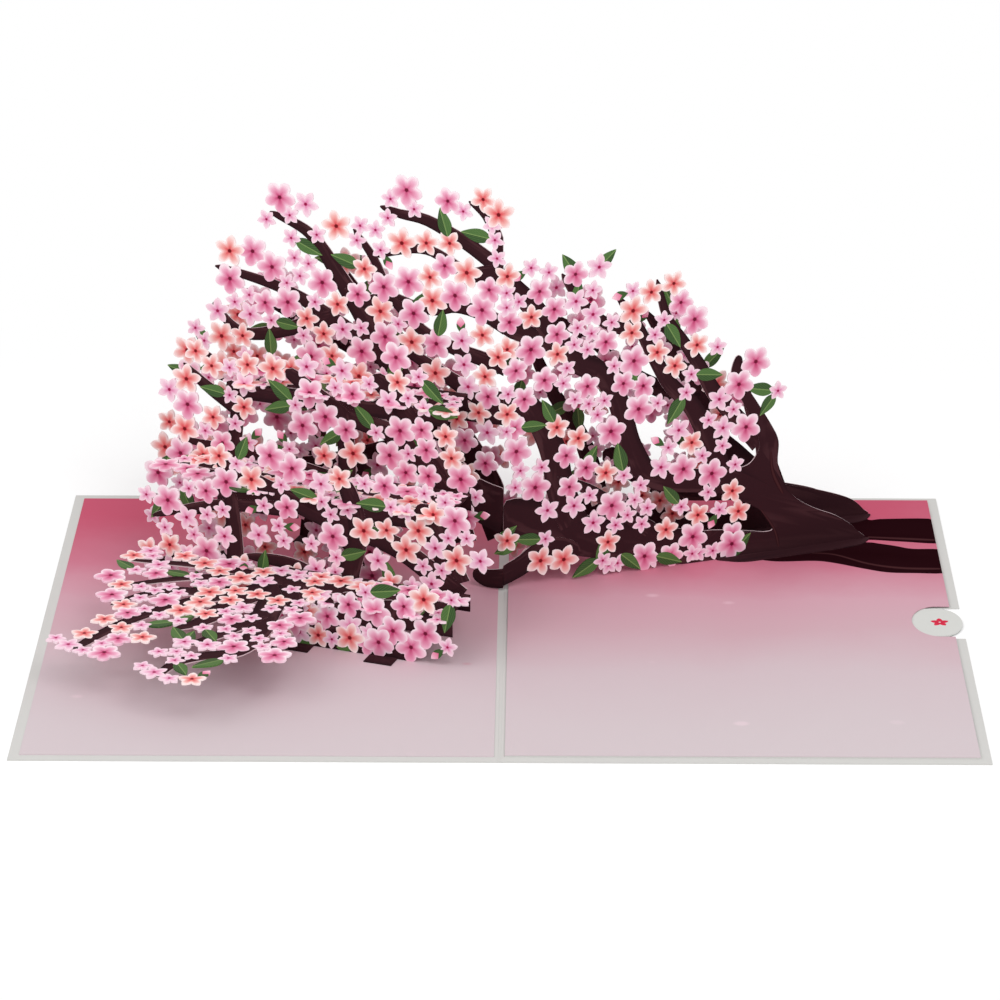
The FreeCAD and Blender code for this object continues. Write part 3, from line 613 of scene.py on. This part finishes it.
def lying(height, band=None):
    """A spray in plan; band holds the two risers' lines at the spine that it stays between."""
    sheet = Sheet(Vector((0.0, 0.0, height)), Vector((1.0, 0.0, 0.0)), Vector((0.0, 1.0, 0.0)))
    sheet.low_u = sheet.low_v = -FAR
    sheet.band = band
    return sheet


def along(points, distance):
    """Point and direction at a distance along a line of points."""
    for (ax, ay), (bx, by) in zip(points, points[1:]):
        length = hypot(bx - ax, by - ay)
        if distance <= length:
            share = distance / length
            return (ax + (bx - ax) * share, ay + (by - ay) * share), atan2(by - ay, bx - ax)
        distance -= length
    (ax, ay), (bx, by) = points[-2:]
    return (bx, by), atan2(by - ay, bx - ax)


def limb_length(points):
    """Length of a line of points."""
    return sum(hypot(b[0] - a[0], b[1] - a[1]) for a, b in zip(points, points[1:]))


def dress(limbs, seed):
    """Blossoms and leaves strewn beside the limbs. Each one overlaps a limb or a neighbour."""
    large = round(looks().blossom_radius / MM, 4)
    spread = round(looks().spread / MM, 4)
    chance = random.Random(seed)
    placed = []
    for start_width, end_width, bare, *points in limbs:
        total = limb_length(points)
        for attempt in range(int((total - bare) * TRIES_PER_UNIT)):
            distance = chance.uniform(bare, total)
            radius = large * chance.choice(SHARES)
            beyond = spread * chance.random()
            side = chance.choice((-1, 1))
            turn = chance.uniform(0, 2 * pi)
            is_leaf = chance.random() < LEAF_CHANCE
            (x, y), heading = along(points, distance)
            half = (start_width + (end_width - start_width) * distance / total) / 2
            out = half * BARE_CORE + beyond
            u = x - side * out * sin(heading)
            v = y + side * out * cos(heading)
            gaps = [hypot(u - a, v - b) / (radius + r) for a, b, r, t, leaf in placed]
            nearest = min(gaps, default=1.0)
            held = out < half + radius * HOLD or nearest < FURTHEST
            if held and nearest > CLOSEST:
                placed.append((u, v, radius, turn, is_leaf))
    return placed


def kept_inside(sheet, u, v, reach):
    """Moves a print in from the fold, the page and the risers beside it, or drops it."""
    if sheet.low_u == 0.0:
        u = max(u, 0.3 * reach if sheet.other_wing else reach)
    top = FAR if u < sheet.step_u - reach else sheet.high_v
    v = min(max(v, sheet.low_v + reach), top - reach)
    if sheet.band:
        near, far = sheet.band
        rise = -u * tan(LEAN)
        front = near + rise + RISER_CLEARANCE + reach
        back = far + rise - RISER_CLEARANCE - reach
        if v > back:
            if v > far + rise + reach:
                return None
            v = back
        if u > sheet.open_u - reach and v < front:
            if v < near + rise - reach:
                return None
            v = front
    return u, v


def map_print(bm, faces, spot):
    """Gives each corner of the faces the spot of the print that belongs to its vertex."""
    layer = bm.loops.layers.uv.verify()
    for face in faces:
        for loop in face.loops:
            loop[layer].uv = spot(loop.vert)


def thickened(bm, faces, thickness):
    """Raises flat faces off themselves, with walls between, and returns the raised vertices."""
    raised = bmesh.ops.extrude_face_region(bm, geom=faces)["geom"]
    top = [item for item in raised if isinstance(item, bmesh.types.BMVert)]
    bmesh.ops.translate(bm, verts=top, vec=(0.0, 0.0, thickness))
    return top


def template(kind, outline, length, width):
    """A flat shape one unit thick: a circle's rim moved to the outline, with its kind's slot and a print
    map that spans the length and width."""
    bm = bmesh.new()
    bmesh.ops.create_circle(bm, cap_ends=True, segments=RIM_POINTS, radius=1.0)
    for vert in bm.verts:
        vert.co.x, vert.co.y = outline(atan2(vert.co.y, vert.co.x))
    thickened(bm, bm.faces[:], 1.0)
    bmesh.ops.translate(bm, verts=bm.verts[:], vec=(0.0, 0.0, -0.5))
    bmesh.ops.recalc_face_normals(bm, faces=bm.faces[:])
    bm.loops.layers.uv.new("print")
    map_print(bm, bm.faces, lambda vert: (0.5 + vert.co.x / length, 0.5 + vert.co.y / width))
    for face in bm.faces:
        face.material_index = kind
    mesh = bpy.data.meshes.new("flat_shape")
    bm.to_mesh(mesh)
    bm.free()
    return mesh


def petal_outline(valley, width_power, tip_power):
    """The rim of a blossom whose radius is 1 at the petals' tips and valley between them."""
    def outline(angle):
        phase = abs(((angle * PETALS / (2 * pi) + 0.5) % 1.0) - 0.5) * 2
        radius = valley + (1 - valley) * (1 - phase ** width_power) ** tip_power
        return radius * cos(angle), radius * sin(angle)
    return outline


def leaf_outline(width, belly):
    """A pointed leaf from its stalk at -0.5 to its tip at +0.5."""
    def outline(angle):
        x = cos(angle)
        share = (x + 1) / 2
        bulge = sin(pi * share ** belly) ** 0.9 if 0 < share < 1 else 0.0
        return x / 2, copysign(width / 2 * abs(bulge), sin(angle))
    return outline


def templates():
    """The flat shapes of PINK, CORAL, SMALL, LEAF and BUD, in that order."""
    rims = ((petal_outline(0.64, 1.35, 0.8), 2, 2), (petal_outline(0.54, 1.15, 0.9), 2, 2),
            (petal_outline(0.52, 1.05, 0.9), 2, 2), (leaf_outline(0.46, 0.72), 1, 0.46),
            (leaf_outline(0.5, 1.1), 1, 0.5))
    return [template(kind, *rim) for kind, rim in enumerate(rims)]


def stamp(bm, shape, sheet, u, v, turn, length, thickness):
    """Adds one copy of a flat shape to a sheet, creased where it crosses the fold."""
    copy = shape.copy()
    copy.transform(Matrix.Translation((u, v, 0.0)) @ Matrix.Rotation(turn, 4, "Z")
                   @ Matrix.Diagonal((length, length, thickness, 1.0)))
    if sheet.other_wing and u < length:
        creased = bmesh.new()
        creased.from_mesh(copy)
        everything = creased.verts[:] + creased.edges[:] + creased.faces[:]
        bmesh.ops.bisect_plane(creased, geom=everything, plane_co=(0.0, 0.0, 0.0), plane_no=(1.0, 0.0, 0.0))
        for vert in creased.verts:
            x, y, z = vert.co
            vert.co = sheet.other_wing @ Vector((-x, y, -z)) if x < 0.0 else sheet.matrix @ vert.co
        creased.to_mesh(copy)
        creased.free()
    else:
        copy.transform(sheet.matrix)
    bm.from_mesh(copy)
    bpy.data.meshes.remove(copy)


def curve(points, t):
    """A point on the smooth curve from the second to the third of four points."""
    a, b, c, d = map(Vector, points)
    return 0.5 * (2 * b + (c - a) * t + (2 * a - 5 * b + 4 * c - d) * t ** 2
                  + (3 * b - a - 3 * c + d) * t ** 3)


def smooth_point(points, share):
    """A point on the smooth curve through a limb's points."""
    spans = len(points) - 1
    place = min(share * spans, spans - 1e-6)
    i = int(place)
    return curve([points[max(0, min(spans, i + k))] for k in (-1, 0, 1, 2)], place - i)


def faces_of(verts):
    """The faces around some vertices, each of them once."""
    return list(dict.fromkeys(face for vert in verts for face in vert.link_faces))


def cut_limb(bm, sheet, limb, thickness, inks=(PRINT, EDGE)):
    """A tapering limb: a grid laid along its smooth middle line and thickened."""
    start_width, end_width, bare, *points = limb
    total = limb_length(points)
    steps = max(LIMB_STEPS, int(total / LIMB_STEP_LENGTH))
    taper = end_width * (TWIG_TAPER if end_width < THIN_END else 1.0)
    verts = bmesh.ops.create_grid(bm, x_segments=steps, y_segments=2, size=0.5)["verts"]
    spots = {vert: (vert.co.x + 0.5, vert.co.y) for vert in verts}
    for vert, (share, side) in spots.items():
        middle = smooth_point(points, share)
        step = smooth_point(points, min(share + 0.01, 1.0)) - smooth_point(points, max(share - 0.01, 0.0))
        heading = step.normalized()
        tip = max(0.0, (share * total - (total - taper)) / taper)
        width = (start_width + (end_width - start_width) * share) * sqrt(1 - (tip * TIP_ROUND) ** 2)
        u = max((middle.x - heading.y * side * width) * MM, sheet.low_u)
        v = (middle.y + heading.x * side * width) * MM
        v = min(max(v, sheet.low_v), FAR if u < sheet.step_u else sheet.high_v)
        vert.co = (u, v, -thickness / 2)
    rooted = {vert for vert, (share, side) in spots.items() if share < 0.001}
    raise_and_place(bm, sheet, verts, thickness, inks, lambda vert: (
        spots[vert][0] * total / PRINT_LENGTH, spots[vert][1] + 0.5), rooted)


def cut_outline(bm, sheet, outline, thickness, inks=(PRINT, EDGE)):
    """A broad part such as the trunk: a circle's rim moved to a smooth curve through the outline."""
    count = len(outline)
    made = bmesh.ops.create_circle(bm, cap_ends=True, segments=count * OUTLINE_STEPS, radius=1.0)
    verts = sorted(made["verts"], key=lambda vert: atan2(vert.co.y, vert.co.x) % (2 * pi))
    for order, vert in enumerate(verts):
        index, step = divmod(order, OUTLINE_STEPS)
        spot = curve([outline[(index + k) % count] for k in (-1, 0, 1, 2)], step / OUTLINE_STEPS)
        vert.co = (spot.x * MM, max(spot.y * MM, sheet.low_v), -thickness / 2)
    raise_and_place(bm, sheet, verts, thickness, inks, lambda vert: (
        vert.co.y / (PRINT_LENGTH * MM), vert.co.x / (PRINT_WIDTH * MM) % 1.0))


def raise_and_place(bm, sheet, verts, thickness, inks, spot, rooted=()):
    """Maps the print of a flat shape, thickens it and moves it to its sheet's place. inks are the slots
    of the face and of its cut edge; the edge at a limb's root takes the face's."""
    faces = faces_of(verts)
    map_print(bm, faces, spot)
    everything = list(verts) + thickened(bm, faces, thickness)
    shell = faces_of(everything)
    bmesh.ops.recalc_face_normals(bm, faces=shell)
    for face in shell:
        at_root = sum(vert in rooted for vert in face.verts) > 1
        face.material_index = inks[0] if at_root or abs(face.normal.z) > 0.5 else inks[1]
    bmesh.ops.transform(bm, matrix=sheet.matrix, verts=everything)


def cut_plate(bm, sheet, low, high, thickness):
    """A plain rectangle of card in a sheet, such as a shelf, a band or a foot, all in the print."""
    verts = bmesh.ops.create_grid(bm, x_segments=LIMB_STEPS, y_segments=2, size=0.5)["verts"]
    wide, deep = high[0] - low[0], high[1] - low[1]
    spots = {vert: (vert.co.x + 0.5, vert.co.y + 0.5) for vert in verts}
    for vert, (x, y) in spots.items():
        vert.co = (low[0] + wide * x, low[1] + deep * y, -thickness / 2)
    raise_and_place(bm, sheet, verts, thickness, (PRINT, PRINT), lambda vert: (
        spots[vert][0] * wide / (PRINT_LENGTH * MM), spots[vert][1]))


def shown(name, data):
    """A new object in the scene."""
    made = bpy.data.objects.new(name, data)
    bpy.context.scene.collection.objects.link(made)
    return made


def finished(name, bm, materials, body, node=None):
    """Turns a bmesh into a piece at the origin that rides on its body."""
    bmesh.ops.dissolve_degenerate(bm, dist=1e-7, edges=bm.edges[:])
    mesh = bpy.data.meshes.new(name)
    bm.to_mesh(mesh)
    bm.free()
    piece = shown(name, mesh)
    for material in materials:
        mesh.materials.append(material)
    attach(piece, body)
    if node:
        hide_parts(node)


def contacts(limbs):
    """The spans of page under the limbs that start on it, where each has a glued foot."""
    starts = [(points[0], width / 2) for width, end_width, bare, *points in limbs]
    return [(x - half, x + half) for (x, y), half in starts if y == 0]


def leaf_at(u, v, length, blossoms, pick):
    """Middle and heading of a leaf or bud, all in millimetres: it grows out from the nearest blossom,
    or stays on its limb where none is near."""
    near = min(blossoms, key=lambda spot: hypot(u - spot[0], v - spot[1]), default=None)
    if near is None or hypot(u - near[0], v - near[1]) > near[2] + length:
        return u, v, radians(pick.gauss(90, 45))
    away = atan2(v - near[1], u - near[0])
    reach = near[2] * 0.5 + length / 2
    return near[0] + reach * cos(away), near[1] + reach * sin(away), away


def tip_reach(length, away):
    """How far a leaf or bud reaches up and down its sheet at a heading."""
    return length * (0.15 + 0.35 * abs(sin(away)))


def picked(limbs, seed, pick):
    """What grows on one sheet, as kind, middle, turn, length and how far it reaches."""
    large = looks().blossom_radius
    layout = dress(limbs, seed)
    blossoms = [(u, v, radius) for u, v, radius, turn, is_leaf in layout if not is_leaf]
    stamps = []
    for u, v, radius, turn, is_leaf in layout:
        if is_leaf:
            kind = BUD if pick.random() < BUD_SHARE else LEAF
            length = looks().bud_length if kind == BUD else looks().leaf_length * pick.uniform(0.85, 1.1)
            u, v, away = leaf_at(u, v, length / MM, blossoms, pick)
            stamps.append((kind, u, v, away, length, tip_reach(length, away)))
        elif radius * MM < SMALL_SHARE * large:
            stamps.append((SMALL, u, v, turn, radius * MM, radius * MM))
        else:
            kind = pick.choice(LARGE_KINDS if radius * MM > LARGE_SHARE * large else MIDDLE_KINDS)
            turn = radians(pick.gauss(-90, 14)) if kind == PINK else turn
            stamps.append((kind, u, v, turn, radius * MM, radius * MM * 0.9))
    return stamps


def strew(bm, shapes, sheet, limbs, seed):
    """Stamps one sheet's blossoms, leaves and buds. Those that overlap lie on different levels."""
    pick = random.Random(seed + looks().seed)
    stamps = picked(limbs, seed, pick)
    tucked = []
    for kind, u, v, turn, length, reach in stamps:
        if kind < LEAF and pick.random() < looks().tucked_leaves:
            away = radians(pick.gauss(90, 50))
            root = length / MM * 0.75
            leaf = looks().leaf_length * pick.uniform(0.8, 1.1)
            tucked.append((LEAF, u + root * cos(away), v + root * sin(away), away, leaf,
                           tip_reach(leaf, away)))
    pick.shuffle(stamps)
    placed = []
    for order, (kind, u, v, turn, length, reach) in enumerate(tucked + stamps):
        spot = kept_inside(sheet, u * MM, v * MM, reach)
        if spot is None:
            continue
        here = Vector(spot)
        wide = length * (0.55 if kind in (LEAF, BUD) else 1.0)
        near = {level for other, size, level in placed if (here - other).length < wide + size}
        free = [level for level in range(LEVELS) if level not in near] or [LEVELS]
        level = free[0] if order < len(tucked) else pick.choice(free[len(free) // 4:])
        placed.append((here, wide, level))
        thickness = STOCK + BLOSSOM_RELIEF + level * LEVEL_STEP
        stamp(bm, shapes[kind], sheet, *spot, turn, length, thickness)


def grow_sheet(name, wings, plates=(), outlines=()):
    """Makes one cut sheet: its limbs, plates and blossoms. wings are (sheet, limbs, seed), plates are
    (sheet, low, high) and outlines are (sheet, outline, foot, lights)."""
    shapes = templates()
    bark = bmesh.new()
    bark.loops.layers.uv.new("print")
    bloom = bmesh.new()
    broad = [row[0] for row in outlines]
    for sheet, limbs, seed in wings:
        for index, limb in enumerate(limbs):
            cut_limb(bark, sheet, limb, STOCK + index * LIMB_STEP)
        if sheet.low_u == 0.0 and sheet not in broad:
            for low, high in contacts(limbs):
                near = max(low, FOOT_START) * MM
                cut_plate(bark, foot_of(sheet), (near, -FOOT_DEPTH), (high * MM, 0.0), STOCK)
        strew(bloom, shapes, sheet, limbs, seed)
    for sheet, outline, foot, lights in outlines:
        cut_outline(bark, sheet, outline, STOCK + TRUNK_RELIEF)
        cut_outline(bark, foot_of(sheet), foot, STOCK, (PRINT, PRINT))
        for light in lights:
            cut_limb(bark, sheet, light, STOCK + LIGHT_RELIEF, (LIGHT, LIGHT))
    for sheet, low, high in plates:
        cut_plate(bark, sheet, low, high, STOCK * PLATE_SHARE)
    finished(name + "_branches", bark, bark_slots(), "card", name)
    finished(name + "_bloom", bloom, bloom_slots(), "card")


def grow_tree(name, apex, left_limbs, right_limbs, seed, *outline):
    """Makes a V sheet whose wings stand on both pages and meet at the fold."""
    left = standing(-1, apex, LEFT_PAGE_TOP)
    right = standing(1, apex, RIGHT_PAGE_TOP)
    grow_sheet(name, [(left, left_limbs, seed), (right, right_limbs, seed + 1)],
               outlines=[(right,) + outline])


class PaperCardFinishCard(bpy.types.Operator):
    """Gives the cover, liners, spacer strips and note their card and print"""

    bl_idname = "paper_card.finish_card"
    bl_label = "Finish cover, liners and note"

    def execute(self, context):
        cover = bare_card("cover_stock", looks().card_ink)
        note = bare_card("note_stock", looks().note_ink)
        wash = liner_print()
        finishes = {"cover": cover, "left_liner": wash, "right_liner": wash, "note_card": note}
        for strip in ("front", "back", "spine"):
            finishes["pocket_strip_" + strip] = cover
        for node, material in finishes.items():
            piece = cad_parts[node]
            for slot in piece.material_slots:
                slot.material = material
            if not piece.material_slots:
                piece.data.materials.append(material)
        return {"FINISHED"}


class PaperCardPrintRoots(bpy.types.Operator):
    """Prints the roots that run from the trunk to the fore edge of the right page"""

    bl_idname = "paper_card.print_roots"
    bl_label = "Print the roots"

    def execute(self, context):
        bm = bmesh.new()
        bm.loops.layers.uv.new("print")
        sheet = lying(RIGHT_PAGE_TOP + INK_FILM / 2)
        for index, outline in enumerate(ROOT_PRINTS):
            cut_outline(bm, sheet, outline, INK_FILM + index * ROOT_STEP, (0, 0))
        for light in ROOT_LIGHTS:
            cut_limb(bm, sheet, light, INK_FILM + ROOT_LIGHT_STEP, (1, 1))
        for vert in bm.verts:
            vert.co.x = min(vert.co.x, LINER_EDGE_X)
        inks = [shared("root_ink", root_ink), shared("bark_light", bark_light)]
        finished("root_print", bm, inks, "card")
        return {"FINISHED"}


class PaperCardMainTree(bpy.types.Operator):
    """Cuts the V sheet with the trunk and the tall canopy"""

    bl_idname = "paper_card.main_tree"
    bl_label = "Main tree sheet"

    def execute(self, context):
        grow_tree("main_tree", MAIN_APEX, MAIN_LEFT, MAIN_RIGHT, MAIN_SEED, TRUNK, TRUNK_FOOT,
                  TRUNK_LIGHTS)
        return {"FINISHED"}


class PaperCardBackTree(bpy.types.Operator):
    """Cuts the second V sheet behind the main one"""

    bl_idname = "paper_card.back_tree"
    bl_label = "Rear tree sheet"

    def execute(self, context):
        grow_tree("back_tree", BACK_APEX, BACK_LEFT, BACK_RIGHT, BACK_SEED, ROOT, ROOT_FOOT, [])
        return {"FINISHED"}


class PaperCardSteps(bpy.types.Operator):
    """Cuts the three risers with their shelves on the left page"""

    bl_idname = "paper_card.steps"
    bl_label = "Stepped sheets"

    def execute(self, context):
        rows = zip(("front_step", "middle_step", "rear_step"), (RISER_1, RISER_2, RISER_3), SHELF_ENDS,
                   (LOW_SHELF, MIDDLE_SHELF, UPPER_SHELF), RISER_APEX, RISER_APEX[1:] + (MAIN_APEX,))
        for index, (name, limbs, end, height, apex, next_apex) in enumerate(rows):
            riser = standing(-1, apex, LEFT_PAGE_TOP)
            crease = height - LEFT_PAGE_TOP
            if index == 0:
                riser.high_v = crease
                riser.step_u = FRONT_STAND
            depth = (next_apex - apex) * cos(LEAN)
            across, back = along_and_behind(riser)
            shelf = Sheet(Vector((0.0, apex, height - STOCK / 2)), across, back)
            shelf.low_v = -SHELF_OVERHANG
            shelf.high_v = depth - STOCK
            behind = Sheet(riser.matrix.translation + back * (depth - STOCK), across, UP)
            plates = [
                (riser, (SHELF_START, crease - SHELF_BAND), (end, crease)),
                (shelf, (SHELF_START, 0.0), (end, depth - STOCK / 2)),
                (behind, (SHELF_START, crease - FOOT_DEPTH), (end, crease)),
            ]
            row = (4.0, 4.0, 0.0, (SHELF_START / MM, depth / MM / 2), (end / MM, depth / MM / 2))
            wings = [(riser, limbs, RISER_SEED + index), (shelf, [row], SHELF_SEED + index)]
            grow_sheet(name, wings, plates)
        return {"FINISHED"}


class PaperCardSprays(bpy.types.Operator):
    """Cuts the flat sprays that lie on the shelves"""

    bl_idname = "paper_card.sprays"
    bl_label = "Lying sprays"

    def execute(self, context):
        low = lying(LOW_SHELF + STOCK / 2, RISER_APEX[:2])
        low.open_u = -FRONT_STAND * cos(LEAN) - RISER_CLEARANCE
        middle = lying(MIDDLE_SHELF + STOCK / 2, RISER_APEX[1:])
        upper = lying(UPPER_SHELF + STOCK / 2, (RISER_APEX[2], MAIN_APEX))
        grow_sheet("low_spray", [(low, LOW_SPRAY, SPRAY_SEED)])
        grow_sheet("middle_spray", [(middle, MIDDLE_SPRAY, SPRAY_SEED + 1)])
        grow_sheet("upper_spray", [(upper, UPPER_SPRAY, SPRAY_SEED + 2)])
        return {"FINISHED"}


class PaperCardTabMark(bpy.types.Operator):
    """Prints a small plain blossom on the note's pull tab"""

    bl_idname = "paper_card.tab_mark"
    bl_label = "Mark on the pull tab"

    def execute(self, context):
        low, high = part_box("note_card")
        bm = bmesh.new()
        stamp(bm, templates()[SMALL], lying(high[2] + INK_FILM / 2), high[0] - TAB_MARK_INSET, TAB_MARK_Y,
              TAB_MARK_TURN, TAB_MARK_RADIUS, INK_FILM)
        for face in bm.faces:
            face.material_index = 0
        mark = petal_print("tab_mark", TAB_INKS, 0.5, 0.5)
        finished("tab_blossom", bm, [mark], "note")
        return {"FINISHED"}


def softbox(name, place, power):
    """A round soft light that points at the card."""
    data = bpy.data.lights.new(name, "AREA")
    data.shape = "DISK"
    data.size = SOFTBOX_SIZE
    data.energy = power
    lamp = shown(name, data)
    lamp.location = place
    lamp.rotation_euler = (SOFTBOX_TARGET - Vector(place)).to_track_quat("-Z", "Y").to_euler()


def white_world():
    """A white room: a plain light for the card, and pure white where the camera sees it."""
    world = bpy.data.worlds.new("white_room")
    bpy.context.scene.world = world
    world.use_nodes = True
    tree = world.node_tree
    background = tree.nodes["Background"]
    background.inputs["Color"].default_value = WHITE
    path = tree.nodes.new("ShaderNodeLightPath")
    level = tree.nodes.new("ShaderNodeMapRange")
    level.inputs["To Min"].default_value = ROOM_LIGHT
    tree.links.new(path.outputs["Is Camera Ray"], level.inputs["Value"])
    tree.links.new(level.outputs["Result"], background.inputs["Strength"])


def floor_material():
    """White to the camera, a little darker to bounced light, and pure white away from the card."""
    recipe = Recipe("studio_floor", 0.9, 0.0)
    seen = recipe.node("ShaderNodeLightPath").outputs["Is Camera Ray"]
    recipe.colour(recipe.mix(seen, (0.8, 0.8, 0.8, 1.0), WHITE))
    oval = recipe.stretch(recipe.place(), (1.0, 1.3, 1.0))
    reach = recipe.node("ShaderNodeVectorMath", oval, operation="LENGTH")
    away = recipe.ease(reach.outputs["Value"], 0.16, 0.34)
    white = recipe.node("ShaderNodeEmission")
    blend = recipe.node("ShaderNodeMixShader", recipe.times(away, seen), recipe.shader.outputs[0],
                        white.outputs[0])
    recipe.feed(recipe.tree.nodes["Material Output"].inputs["Surface"], blend.outputs[0])
    return recipe.material


class PaperCardStage(bpy.types.Operator):
    """Sets the white floor, the soft light and the photograph's camera"""

    bl_idname = "paper_card.stage"
    bl_label = "Stage, light and camera"

    def execute(self, context):
        bm = bmesh.new()
        bmesh.ops.create_grid(bm, x_segments=1, y_segments=1, size=FLOOR_HALF)
        mesh = bpy.data.meshes.new("studio_floor")
        bm.to_mesh(mesh)
        bm.free()
        floor = shown("studio_floor", mesh)
        mesh.materials.append(floor_material())
        white_world()
        for settings in SOFTBOXES:
            softbox(*settings)
        data = bpy.data.cameras.new("photo_camera")
        data.lens = FOCAL_PIXELS / FRAME_PIXELS * SENSOR
        data.sensor_width = SENSOR
        data.clip_end = VIEW_END
        camera = shown("photo_camera", data)
        camera.location = CAMERA_PLACE
        camera.rotation_euler = (pi / 2 - CAMERA_PITCH, 0.0, CAMERA_TURN)
        context.scene.camera = camera
        context.scene.view_settings.view_transform = "Standard"
        return {"FINISHED"}


STEPS = (PaperCardStage, PaperCardFinishCard, PaperCardPrintRoots, PaperCardMainTree, PaperCardBackTree,
         PaperCardSteps, PaperCardSprays, PaperCardTabMark)


class PaperCardPanel(bpy.types.Panel):
    """Lists the card's sizes, inks and pieces"""

    bl_idname = "VIEW3D_PT_paper_card"
    bl_label = "Paper Card"
    bl_space_type = "VIEW_3D"
    bl_region_type = "UI"
    bl_category = "Paper Card"

    def draw(self, context):
        for name in PaperCardLooks.__annotations__:
            self.layout.prop(looks(), name)
        for step in STEPS:
            self.layout.operator(step.bl_idname)


CLASSES = (PaperCardLooks,) + STEPS + (PaperCardPanel,)


def register():
    for item in CLASSES:
        bpy.utils.register_class(item)
    bpy.types.Scene.paper_card_looks = PointerProperty(type=PaperCardLooks)


def unregister():
    del bpy.types.Scene.paper_card_looks
    for item in reversed(CLASSES):
        bpy.utils.unregister_class(item)


def main():
    register()
    for step in STEPS:
        group, call = step.bl_idname.split(".")
        getattr(getattr(bpy.ops, group), call)()


if __name__ == "__main__":
    main()
